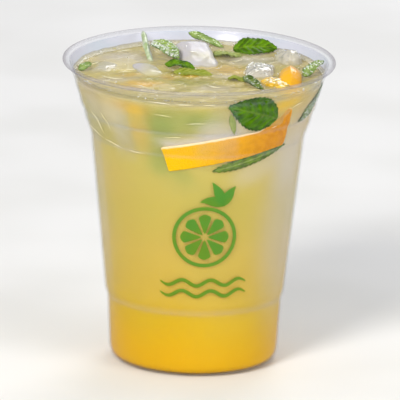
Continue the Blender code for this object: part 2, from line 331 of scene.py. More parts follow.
@dataclass(frozen=True)
class Finish:
    """The surface of a piece: its name and the settings that are the same all over it."""

    name: str
    roughness: float = 0.4
    gloss: float = 0.5
    coat: float = 0.0
    transmission: float = 0.0
    index: float = 1.45
    scatter: float = 0.0

    def start(self) -> tuple[Material, Tree, Node]:
        """A new material with this finish's constant values.

        Returns:
            The material, its tree and its Principled shader.
        """
        material = bpy.data.materials.new(self.name)
        material.use_nodes = True
        shader = material.node_tree.nodes["Principled BSDF"]
        constants = {
            "Roughness": self.roughness,
            "Specular IOR Level": self.gloss,
            "Coat Weight": self.coat,
            "Coat Roughness": 0.06,
            "Transmission Weight": self.transmission,
            "IOR": self.index,
        }
        if self.scatter:
            constants["Subsurface Weight"] = self.scatter
            constants["Subsurface Scale"] = 2.0 * MM
            constants["Subsurface Radius"] = (1.0, 0.8, 0.5)
        for name, value in constants.items():
            shader.inputs[name].default_value = value
        return material, Tree(material.node_tree), shader

    def build(self) -> Material:
        """Makes the material.

        Returns:
            The finished material.
        """
        material, tree, shader = self.start()
        self.dress(tree, shader)
        return material

    def dress(self, tree: Tree, shader: Node) -> None:
        """Adds what varies over the surface. Each kind of finish has its own.

        Args:
            tree: the material's tree.
            shader: its Principled shader.
        """
        raise NotImplementedError


class Materials:
    """Materials that several pieces share. Each is made once."""

    made: dict[str, Material] = {}

    @classmethod
    def get(cls, finish: Finish) -> Material:
        """The material of a finish."""
        if finish.name not in cls.made:
            cls.made[finish.name] = finish.build()
        return cls.made[finish.name]


@dataclass(frozen=True)
class ClearPlastic(Finish):
    """Thin clear plastic: nearly unseen from the front, pale lilac inside the rim and where it turns away.

    Its light is partly painted: the pale lilac inside the rim is a painted reflection, pale lines at its rings
    and shoulder are painted highlights, and the lip and grazing edges carry painted shade.
    """

    # Haze by height. Its peaks are painted highlights: pale lines at the foot, the low ring, the two shoulder
    # steps and the drink's level.
    haze_and_highlight_lines: tuple[Point, ...] = (
        (0.0, 0.06),
        (0.02, 0.01),
        (0.205, 0.01),
        (0.216, 0.08),
        (0.226, 0.05),
        (0.235, 0.01),
        (0.744, 0.01),
        (0.752, 0.1),
        (0.76, 0.02),
        (0.822, 0.03),
        (0.83, 0.14),
        (0.838, 0.02),
        (0.925, 0.02),
        (0.9365, 0.1),
        (0.943, 0.02),
        (0.965, 0.03),
    )
    # The inner face is made pale lilac above the drink: a painted reflection.
    inner: tuple[Point, ...] = ((0.0, 0.02), (0.92, 0.02), (0.945, 0.55), (1.0, 0.62))
    pale: Rgba = display(190, 192, 214)
    blue: Rgba = display(172, 186, 206)
    # The dark tone is painted shade: the line under the lip and the darkening where the plastic turns away.
    dark: Rgba = display(96, 84, 104)

    def dress(self, tree: Tree, shader: Node) -> None:
        """Clears the plastic by height, side and angle, and paints its highlight lines, streaky reflections and
        shade.

        Args:
            tree: the material's tree.
            shader: its Principled shader.
        """
        height = Effects.height(tree, PLASTIC_SPAN * MM)
        weight = tree.add("LayerWeight", {"Blend": 0.3})
        edge = tree.math("POWER", weight.outputs["Facing"], 2.6)
        # Pale streaky patches on the shoulder and neck: painted reflections.
        reflection_streaks = Effects.mottle(tree, 60.0, 0.52, 0.7, 6.0)
        collar_reflection_band = tree.level(height, ((0.0, 0.0), (0.7, 0.0), (0.78, 0.1), (0.9, 0.08), (0.94, 0.02)))
        away = tree.add("NewGeometry").outputs["Backfacing"]
        seen = tree.math("SUBTRACT", 1.0, away)
        within = tree.math("MULTIPLY", tree.attribute("within"), seen)
        cover = tree.math("ADD", tree.level(height, self.haze_and_highlight_lines), tree.math("MULTIPLY", edge, 0.42))
        cover = tree.math("ADD", cover, tree.math("MULTIPLY", reflection_streaks, collar_reflection_band), clamp=True)
        # Inside, the cover comes from the inner ramp: the painted reflection above the drink.
        sides = {0: within, 2: cover, 3: tree.level(height, self.inner)}
        cover = tree.add("Mix", sides, data_type="FLOAT").outputs[0]
        # Painted shade: a dark line along the lip, stronger at grazing angles, and darker edges where the
        # plastic turns away.
        lip = tree.attribute("lip")
        grazing = tree.math("POWER", weight.outputs["Facing"], 1.3)
        cover = tree.math("ADD", cover, tree.math("MULTIPLY", lip, 0.2), clamp=True)
        line = tree.math("MULTIPLY", lip, tree.math("ADD", grazing, 0.55), clamp=True)
        tone = tree.math("ADD", tree.math("MULTIPLY", edge, 0.4), line, clamp=True)
        colour = tree.mix(Effects.mottle(tree, 40.0, 0.35, 0.65, 0.4), self.pale, self.blue)
        colour = tree.mix(tone, colour, self.dark)
        tree.join(colour, shader, "Base Color")
        tree.join(Effects.relief(tree, 60.0, 0.00002, 0.02), shader, "Normal")
        tree.join(cover, shader, "Alpha")


class Depth(Enum):
    """How deep in the drink a layer lies, with the share of light that it holds back."""

    SURFACE = 0.3
    MIDDLE = 0.62
    CORE = 1.0


class Tone(Enum):
    """The colours of the soft stains in the drink, each with the name of its mask on the mesh."""

    GREEN = ("stain_green", display(164, 176, 88))
    OLIVE = ("stain_olive", display(160, 150, 24))
    WARM = ("stain_warm", display(246, 196, 84))
    GOLD = ("stain_gold", display(250, 206, 6))
    PALE = ("stain_pale", display(222, 214, 198))


@dataclass(frozen=True)
class CloudyDrink(Finish):
    """The cloudy pale drink, golden towards its base. A layer near the surface lets light by."""

    depth: Depth = Depth.CORE
    wetness: float = 0.0
    column: tuple[tuple[float, Rgba], ...] = (
        (0.0, display(226, 176, 0)),
        (0.09, display(224, 178, 0)),
        (0.14, display(221, 179, 0)),
        (0.2, display(221, 184, 20)),
        (0.28, display(221, 189, 68)),
        (0.45, display(216, 190, 88)),
        (0.6, display(208, 190, 90)),
        (0.75, display(212, 196, 108)),
        (0.9, display(214, 196, 116)),
        (0.98, display(220, 201, 112)),
        (0.99, display(230, 215, 140)),
    )
    cloud: Rgba = display(194, 192, 94)
    warm: Rgba = display(224, 190, 104)

    def dress(self, tree: Tree, shader: Node) -> None:
        """Colours the drink by height, with clouds and stains in it.

        Args:
            tree: the material's tree.
            shader: its Principled shader.
        """
        height = Effects.height(tree, DRINK_LEVEL * MM)
        drift = Effects.mottle(tree, 26.0, 0.3, 0.7, 1.4)
        lifted = tree.math("ADD", height, tree.math("MULTIPLY", tree.math("SUBTRACT", drift, 0.5), 0.03))
        colour = tree.ramp(lifted, self.column)
        upper = tree.level(height, ((0.0, 0.0), (0.18, 0.1), (0.4, 0.3), (0.7, 0.5), (1.0, 0.45)))
        clouds = tree.math("MULTIPLY", Effects.mottle(tree, 30.0, 0.2, 0.9, 1.3), upper)
        colour = tree.mix(clouds, colour, self.cloud)
        warmth = tree.math("MULTIPLY", Effects.mottle(tree, 22.0, 0.3, 0.9, 0.8), upper)
        colour = tree.mix(warmth, colour, self.warm)
        for tone in Tone:
            name, stain = tone.value
            colour = tree.mix(tree.attribute(name), colour, stain)
        tree.join(colour, shader, "Base Color")
        if self.depth is not Depth.CORE:
            thin = tree.math("MULTIPLY", Effects.mottle(tree, 60.0, 0.2, 0.8, 1.0), 0.05)
            cover = tree.math("ADD", thin, self.depth.value - 0.03)
            if self.depth is Depth.MIDDLE:
                low = tree.level(height, ((0.0, 0.35), (0.14, 0.3), (0.3, 0.05), (0.4, 0.0)))
                cover = tree.math("ADD", cover, low, clamp=True)
            tree.join(cover, shader, "Alpha")
        rough = tree.add("TexNoise", {"Vector": tree.place(), "Scale": 150.0, "Detail": 2.0})
        calm = tree.level(height, ((0.0, 0.0), (0.7, 0.05), (0.85, 0.2), (0.96, 0.3), (0.985, 2.2)))
        waves = tree.math("MULTIPLY", rough.outputs["Fac"], calm)
        bump = tree.add("Bump", {"Height": waves, "Distance": 0.0006, "Strength": 1.0})
        tree.join(bump.outputs["Normal"], shader, "Normal")
        if self.wetness:
            wet = tree.level(height, ((0.0, 0.0), (0.97, 0.0), (0.985, 1.0)))
            dull = tree.math("SUBTRACT", 1.0, tree.math("MULTIPLY", wet, 1.0 - self.roughness))
            tree.join(dull, shader, "Roughness")
            tree.join(tree.math("MULTIPLY", wet, self.wetness), shader, "Coat Weight")


@dataclass(frozen=True)
class MilkyIce(Finish):
    """Wet ice, milky inside, with a pale lilac and a pale yellow cast in patches."""

    cool: Rgba = display(190, 186, 188)
    warm: Rgba = display(194, 188, 156)
    depth: float = 0.0003

    def dress(self, tree: Tree, shader: Node) -> None:
        """Clouds the ice and gives it a melted surface."""
        patches = Effects.mottle(tree, 70.0, 0.36, 0.66, 1.0)
        tree.join(tree.mix(patches, self.cool, self.warm), shader, "Base Color")
        rough = tree.math("ADD", tree.math("MULTIPLY", Effects.mottle(tree, 260.0), 0.2), 0.05)
        tree.join(rough, shader, "Roughness")
        tree.join(Effects.relief(tree, 220.0, self.depth, 0.15, 1.2), shader, "Normal")


@dataclass(frozen=True)
class MintGreen(Finish):
    """A mint leaf: deep green between paler veins, with painted light and shade: lighter on its quilted bulges,
    darker between them.
    """

    deep: Rgba = display(30, 62, 0)
    bright: Rgba = display(98, 142, 0)
    vein: Rgba = display(138, 172, 44)
    veined: float = 0.5
    fading: bool = False

    def dress(self, tree: Tree, shader: Node) -> None:
        """Colours the leaf from its stored veins and relief, painting its bulges lighter as if lit.

        Args:
            tree: the material's tree.
            shader: its Principled shader.
        """
        # Painted light and shade: the leaf is lighter where the quilting bulges (puff) and darker between the
        # bulges.
        puff = tree.attribute("puff")
        patches = Effects.mottle(tree, 420.0, 0.35, 0.65)
        raised = tree.math("MULTIPLY", puff, 0.6)
        tone = tree.math("ADD", raised, tree.math("MULTIPLY", patches, 0.5), clamp=True)
        colour = tree.mix(tone, self.deep, self.bright)
        line = tree.math("MULTIPLY", tree.attribute("vein"), self.veined)
        colour = tree.mix(line, colour, self.vein)
        tree.join(colour, shader, "Base Color")
        tree.join(Effects.relief(tree, 1500.0, 0.00006, 0.6), shader, "Normal")
        if self.fading:
            tree.join(tree.attribute("cover"), shader, "Alpha")


@dataclass(frozen=True)
class OrangeSkin(Finish):
    """An orange slice: pored rind, white pith and flesh in segments, by the masks stored on the mesh."""

    rind_left: Rgba = display(230, 182, 0)
    rind_right: Rgba = display(196, 126, 0)
    pith: Rgba = display(240, 214, 170)
    flesh: Rgba = display(236, 170, 4)
    skin: Rgba = display(244, 206, 96)

    def dress(self, tree: Tree, shader: Node) -> None:
        """Lays flesh, pith and rind over each other.

        Args:
            tree: the material's tree.
            shader: its Principled shader.
        """
        across = tree.attribute("across")
        rind = tree.mix(across, self.rind_left, self.rind_right)
        spots = tree.math("MULTIPLY", Effects.mottle(tree, 500.0, 0.4, 0.6), 0.25)
        rind = tree.mix(spots, rind, self.flesh)
        flesh = tree.mix(tree.attribute("membrane"), self.flesh, self.skin)
        colour = tree.mix(tree.attribute("pith"), flesh, self.pith)
        colour = tree.mix(tree.attribute("rind"), colour, rind)
        tree.join(colour, shader, "Base Color")
        pores = tree.add("TexVoronoi", {"Vector": tree.place(), "Scale": 1150.0})
        dimple = tree.level(pores.outputs["Distance"], ((0.0, 0.0), (0.45, 1.0)))
        height = tree.math("MULTIPLY", dimple, tree.attribute("rind"))
        bump = tree.add("Bump", {"Height": height, "Distance": 0.00012, "Strength": 0.8})
        tree.join(bump.outputs["Normal"], shader, "Normal")


@dataclass(frozen=True)
class Tinted(Finish):
    """Two near colours in fine patches, for bubbles, grains, ink, the stem and the floor."""

    first: Rgba = display(255, 255, 255)
    second: Rgba = display(225, 230, 220)
    scale: float = 300.0
    depth: float = 0.00003
    rise: float = 0.0
    cover: float = 1.0

    def dress(self, tree: Tree, shader: Node) -> None:
        """Mixes the two colours in patches and, with a rise, from the bottom up.

        Args:
            tree: the material's tree.
            shader: its Principled shader.
        """
        mask = Effects.mottle(tree, self.scale)
        if self.rise:
            share = tree.math("MULTIPLY", Effects.height(tree, self.rise), 1.0, clamp=True)
            upward = tree.math("MULTIPLY", share, 0.8)
            mask = tree.math("ADD", tree.math("MULTIPLY", mask, 0.3), upward, clamp=True)
        tree.join(tree.mix(mask, self.first, self.second), shader, "Base Color")
        tree.join(Effects.relief(tree, self.scale * 3, self.depth, 0.4), shader, "Normal")
        shader.inputs["Alpha"].default_value = self.cover


# Meshes


def make_piece(
    name: str,
    points: Sequence[Vector] | np.ndarray,
    faces: Faces,
    material: Material,
    stands_for: Sequence[str] = (),
    values: dict[str, np.ndarray] | None = None,
) -> Object:
    """Makes a piece of the object and puts it on the frame.

    Args:
        name: the piece's name.
        points: its points in millimetres.
        faces: the point numbers of each face.
        material: its finish.
        stands_for: the nodes that it replaces.
        values: a number for each point under each name, for the material to read.

    Returns:
        The piece.
    """
    mesh = bpy.data.meshes.new(name)
    mesh.from_pydata((np.asarray(points, float) * MM).tolist(), [], [list(face) for face in faces])
    return mount(name, mesh, material, stands_for, values)


def mount(
    name: str,
    mesh: Mesh,
    material: Material,
    stands_for: Sequence[str] = (),
    values: dict[str, np.ndarray] | None = None,
) -> Object:
    """Puts a mesh on the frame as a piece.

    Args:
        name: the piece's name.
        mesh: its mesh, in metres.
        material: its finish.
        stands_for: the nodes that it replaces.
        values: a number for each point under each name, for the material to read.

    Returns:
        The piece.
    """
    mesh.validate()
    mesh.shade_smooth()
    for key, numbers in (values or {}).items():
        layer = mesh.attributes.new(key, "FLOAT", "POINT")
        layer.data.foreach_set("value", np.asarray(numbers, np.float32))
    mesh.materials.append(material)
    obj = bpy.data.objects.new(name, mesh)
    bpy.context.scene.collection.objects.link(obj)
    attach(obj, BODY)
    if stands_for:
        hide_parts(*stands_for)
    LOG.info("%s: %d points, %d faces", name, len(mesh.vertices), len(mesh.polygons))
    return obj


def grid_faces(rows: int, columns: int, round_about: bool = False, start: int = 0) -> Faces:
    """The faces of a grid of points that are given row by row.

    Args:
        rows: how many rows it has.
        columns: how many points a row has.
        round_about: whether the last column joins the first.
        start: the number of the grid's first point.

    Returns:
        The point numbers of each face.
    """
    faces = []
    for row in range(rows - 1):
        for column in range(columns if round_about else columns - 1):
            after = (column + 1) % columns
            here = start + row * columns
            faces.append([here + column, here + after, here + columns + after, here + columns + column])
    return faces


def sheet_faces(rows: int, columns: int) -> Faces:
    """The faces of a thin closed sheet of two grids.

    Args:
        rows: how many rows each of its two grids has.
        columns: how many points a row has.

    Returns:
        The point numbers of each face: the upper grid, then the lower one, then the edge.
    """
    count = rows * columns
    faces = grid_faces(rows, columns)
    faces += [face[::-1] for face in grid_faces(rows, columns, start=count)]
    border = [row * columns for row in range(rows)]
    border += [(rows - 1) * columns + column for column in range(1, columns)]
    border += [row * columns + columns - 1 for row in range(rows - 2, -1, -1)]
    border += list(range(columns - 2, 0, -1))
    for here, after in zip(border, border[1:] + border[:1]):
        faces.append([here, after, after + count, here + count])
    return faces


def soften(points: Sequence[Point], reach: float = 0.7) -> list[Point]:
    """Cuts the corners of a line twice.

    Args:
        points: the line.
        reach: how far from a corner it is cut at most.

    Returns:
        The softer line, with the same ends.
    """
    line = list(points)
    for _ in range(2):
        cut = [line[0]]
        for (x, y), (next_x, next_y) in zip(line, line[1:]):
            part = min(0.25, reach / max(math.hypot(next_x - x, next_y - y), 1e-6))
            cut.append((x + (next_x - x) * part, y + (next_y - y) * part))
            cut.append((next_x - (next_x - x) * part, next_y - (next_y - y) * part))
        cut.append(line[-1])
        line = cut
    return line


def divide(points: Sequence[Point], step: float) -> list[Point]:
    """Adds points to a line.

    Args:
        points: the line.
        step: the longest run between two of its points.

    Returns:
        The line with the added points.
    """
    line = [points[0]]
    for (x, y), (next_x, next_y) in zip(points, points[1:]):
        count = max(1, math.ceil(math.hypot(next_x - x, next_y - y) / step))
        for index in range(1, count + 1):
            share = index / count
            line.append((x + (next_x - x) * share, y + (next_y - y) * share))
    return line


def turned(profile: Sequence[Point], steps: int) -> tuple[np.ndarray, Faces]:
    """Turns a profile about Z.

    Args:
        profile: the (radius, height) points.
        steps: how many points a ring has.

    Returns:
        The points and the faces. A point on the axis is made once.
    """
    points = []
    rings = []
    for radius, height in profile:
        if radius < 0.001:
            rings.append([len(points)])
            points.append((0.0, 0.0, height))
            continue
        rings.append(list(range(len(points), len(points) + steps)))
        for step in range(steps):
            angle = 2 * math.pi * step / steps
            points.append((radius * math.sin(angle), -radius * math.cos(angle), height))
    faces = []
    for upper, lower in zip(rings, rings[1:]):
        for step in range(steps):
            after = (step + 1) % steps
            if len(upper) == 1 and len(lower) > 1:
                faces.append([upper[0], lower[step], lower[after]])
            elif len(lower) == 1 and len(upper) > 1:
                faces.append([upper[step], lower[0], upper[after]])
            elif len(upper) > 1:
                faces.append([upper[step], lower[step], lower[after], upper[after]])
    return np.array(points), faces


def fine_mesh(name: str, source: Mesh, voxel: float, smoothing: int) -> Mesh:
    """A new mesh of small even faces over a closed one.

    Args:
        name: the new mesh's name.
        source: the closed mesh, in metres.
        voxel: the size of its faces in millimetres.
        smoothing: how many times its points are evened out.

    Returns:
        The new mesh.
    """
    obj = bpy.data.objects.new(name, source.copy())
    bpy.context.scene.collection.objects.link(obj)
    remesh = obj.modifiers.new("Even faces", "REMESH")
    remesh.mode = "VOXEL"
    remesh.voxel_size = voxel * MM
    smooth = obj.modifiers.new("Even points", "SMOOTH")
    smooth.factor = 0.5
    smooth.iterations = smoothing
    bpy.context.view_layer.update()
    mesh = bpy.data.meshes.new_from_object(obj.evaluated_get(bpy.context.evaluated_depsgraph_get()))
    bpy.data.objects.remove(obj, do_unlink=True)
    mesh.materials.clear()
    return mesh


def points_of(mesh: Mesh) -> np.ndarray:
    """The mesh's points in millimetres."""
    flat = np.empty(len(mesh.vertices) * 3)
    mesh.vertices.foreach_get("co", flat)
    return flat.reshape(-1, 3) / MM


def normals_of(mesh: Mesh) -> np.ndarray:
    """The direction that the mesh faces at each of its points."""
    flat = np.empty(len(mesh.vertices) * 3)
    mesh.vertices.foreach_get("normal", flat)
    return flat.reshape(-1, 3)


def set_points(mesh: Mesh, points: np.ndarray) -> None:
    """Moves the mesh's points to these places in millimetres."""
    mesh.vertices.foreach_set("co", (points * MM).ravel())
    mesh.update()


class Beads:
    """Many small round drops, bubbles or grains that make one mesh."""

    def __init__(self, detail: int = 1) -> None:
        """Starts with none, and with the form of one in this much detail."""
        bm = bmesh.new()
        bmesh.ops.create_icosphere(bm, subdivisions=detail, radius=1.0)
        self.ball = np.array([vert.co for vert in bm.verts])
        self.ball_faces = [[vert.index for vert in face.verts] for face in bm.faces]
        bm.free()
        self.points: list[np.ndarray] = []
        self.faces: Faces = []

    def add(self, place: Sequence[float], radius: float, flat: float = 1.0) -> None:
        """Adds a bead.

        Args:
            place: its middle.
            radius: its radius.
            flat: its height as a share of its width.
        """
        start = len(self.points) * len(self.ball)
        self.points.append(self.ball * (radius, radius, radius * flat) + np.array(place))
        self.faces += [[start + index for index in face] for face in self.ball_faces]

    def make(self, name: str, material: Material, slot: str) -> Object:
        """The beads as one piece."""
        return make_piece(name, np.concatenate(self.points), self.faces, material)


class Threads:
    """Many thin tubes, each tapered at both ends, that make one mesh."""

    sides: int = 6

    def __init__(self) -> None:
        """Starts with none."""
        self.points: list[Vector] = []
        self.faces: Faces = []

    def add(self, path: Sequence[Vector], up: Vector, thickness: float) -> None:
        """Adds a tube.

        Args:
            path: its middle line.
            up: a direction across the line.
            thickness: half its width at the middle.
        """
        first = len(self.points)
        for index, place in enumerate(path):
            ahead = path[min(index + 1, len(path) - 1)] - path[max(index - 1, 0)]
            side = ahead.cross(up).normalized()
            thick = thickness * (0.15 + 0.85 * math.sin(math.pi * index / (len(path) - 1)))
            for step in range(self.sides):
                turn = 2 * math.pi * step / self.sides
                self.points.append(place + (side * math.cos(turn) + up * math.sin(turn)) * thick)
        self.faces += grid_faces(len(path), self.sides, round_about=True, start=first)
        self.faces.append(list(range(first, first + self.sides))[::-1])
        self.faces.append(list(range(len(self.points) - self.sides, len(self.points))))

    def make(self, name: str, material: Material, slot: str) -> Object:
        """The tubes as one piece."""
        return make_piece(name, self.points, self.faces, material)


# The cup


@dataclass(frozen=True)
class CupSheet:
    """The line of the cup's thin moulded sheet, as (radius, height) points."""

    thickness: float = 0.55
    wall: tuple[Point, ...] = (
        (46.6, 107.8),
        (44.9, 104.0),
        (44.2, 100.6),
        (42.9, 97.0),
        (42.5, 94.4),
        (41.4, 92.9),
        (40.7, 89.2),
        (38.6, 83.8),
        (32.4, 25.4),
        (31.6, 23.4),
    )
    corner_centre: Point = (26.4, 4.2)
    corner_round: float = 4.2
    foot: tuple[Point, ...] = ((24.4, 0.0), (23.0, 2.2), (0.0, 2.2))
    lip_centre: Point = (48.4, 109.9)
    lip_round: float = 0.6
    lip_inside: Point = (46.7, 109.8)
    lip_underside: Point = (47.4, 109.2)

    @staticmethod
    def arc(centre: Point, radius: float, start: float, end: float, steps: int) -> list[Point]:
        """Points on an arc.

        Args:
            centre: the arc's centre.
            radius: its radius.
            start: the angle in degrees where it starts.
            end: the angle where it ends.
            steps: how many runs it has.

        Returns:
            The points from start to end.
        """
        x, y = centre
        angles = [math.radians(start + (end - start) * step / steps) for step in range(steps + 1)]
        return [(x + radius * math.cos(angle), y + radius * math.sin(angle)) for angle in angles]

    def outside(self) -> list[Point]:
        """The outer face from under the lip down to the middle of the base."""
        return [*self.wall, *self.arc(self.corner_centre, self.corner_round, 0, -90, 3), *self.foot]

    def inside(self, inset: float = 0.0) -> list[Point]:
        """The inner face, or a line further in.

        Args:
            inset: how far inside the inner face the line is.

        Returns:
            The line from the top down to the middle of the base.
        """
        points = self.outside()
        distance = self.thickness + inset
        normals = []
        for (radius, height), (next_radius, next_height) in zip(points, points[1:]):
            length = math.hypot(next_radius - radius, next_height - height)
            normals.append(Vector(((next_height - height) / length, (radius - next_radius) / length)))
        moved = []
        for index, (radius, height) in enumerate(points):
            before = normals[max(index - 1, 0)]
            after = normals[min(index, len(normals) - 1)]
            mitre = (before + after).normalized()
            step = mitre * (distance / mitre.dot(after))
            moved.append((radius + step.x, height + step.y))
        moved[-1] = (0.0, moved[-1][1])
        return moved

    def packed_radius(self, heights: np.ndarray) -> np.ndarray:
        """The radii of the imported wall's inner face, which has sharp corners, at these heights."""
        line = [point for point in self.inside() if point[1] > self.corner_round][::-1]
        return np.interp(heights, [height for _, height in line], [radius for radius, _ in line])

    @lru_cache(maxsize=1)
    def inner_face(self) -> tuple[np.ndarray, np.ndarray]:
        """The heights, from the lowest up, and the radii of the rounded inner face of the wall."""
        line = [point for point in soften(self.inside()) if point[1] > self.corner_round / 2][::-1]
        return np.array([height for _, height in line]), np.array([radius for radius, _ in line])

    def radius_at(self, height: float, inset: float = 0.0) -> float:
        """The radius of the wall's inner face at this height, less an inset."""
        heights, radii = self.inner_face()
        return float(np.interp(height, heights, radii)) - inset

    def wall_point(self, angle: float, height: float, inset: float = 0.0) -> Vector:
        """A point near the wall.

        Args:
            angle: the angle in degrees from the front.
            height: the height.
            inset: how far inside the inner face it is.

        Returns:
            The point.
        """
        radius = self.radius_at(height, inset)
        turn = math.radians(angle)
        return Vector((radius * math.sin(turn), -radius * math.cos(turn), height))

    def lining(self, inset: float, top: float, bottom: float, run: float) -> list[Point]:
        """The line inset from the inner face, from one height down to another, in steps of about run."""
        heights = np.linspace(top, bottom, max(2, round((top - bottom) / run)))
        return [(self.radius_at(height, inset), float(height)) for height in heights]


SHEET = CupSheet()


@dataclass
class Cup:
    """The clear cup, turned from its sheet, a little uneven as thin moulded plastic is."""

    steps: int = 180
    run: float = 1.6
    unevenness: float = 0.07
    finish: Finish = ClearPlastic("clear_plastic", roughness=0.26, gloss=0.4, coat=0.1)

    def build(self) -> list[Object]:
        """Makes the cup.

        Returns:
            The cup, in the place of its node.
        """
        curl = SHEET.arc(SHEET.lip_centre, SHEET.lip_round, 110, -90, 8)
        lip = [SHEET.lip_inside, *curl, SHEET.lip_underside]
        inner = soften(SHEET.inside()[::-1])
        outer = soften(SHEET.outside())
        profile = divide([*inner, *lip, *outer], self.run)
        points, faces = turned(profile, self.steps)
        shape = points * (1, 1, 0.35)
        reach = smooth_step(points[:, 2], 4.0, 14.0) * smooth_step(points[:, 2], PLASTIC_SPAN, 106.0)
        swell = 1 + noise_at(shape, 0.05) * self.unevenness * reach / 40.0
        points[:, 0] *= swell
        points[:, 1] *= swell
        inner_count = len(divide([*inner, lip[0]], self.run)) - 2
        within = np.arange(len(points)) <= inner_count * self.steps
        outward = np.hypot(points[:, 0], points[:, 1]) - SHEET.lip_centre[0]
        around = np.hypot(outward, points[:, 2] - SHEET.lip_centre[1])
        values = {"within": within, "lip": smooth_step(around, 1.15, 0.7)}
        return [make_piece("cup", points, faces, self.finish.build(), ["cup"], values)]


# The drink and the syrup


@dataclass(frozen=True)
class Stain:
    """A soft patch of another tone in the drink.

    Its place and spread are (angle, height) on the wall, or (x, y) at the top, and its turn is in degrees.
    """

    tone: Tone
    place: Point
    spread: Point
    strength: float
    turn: float = 0.0
    crisp: float = 1.6

    def at(self, first: np.ndarray, second: np.ndarray) -> np.ndarray:
        """How strong the patch is.

        Args:
            first: the angle or x of each point.
            second: the height or y of each point.

        Returns:
            The strength at each point.
        """
        turn = math.radians(self.turn)
        cos, sin = math.cos(turn), math.sin(turn)
        right, up = first - self.place[0], second - self.place[1]
        along = (right * cos + up * sin) / self.spread[0]
        across = (up * cos - right * sin) / self.spread[1]
        return self.strength * np.exp(-((along**2 + across**2) ** self.crisp))


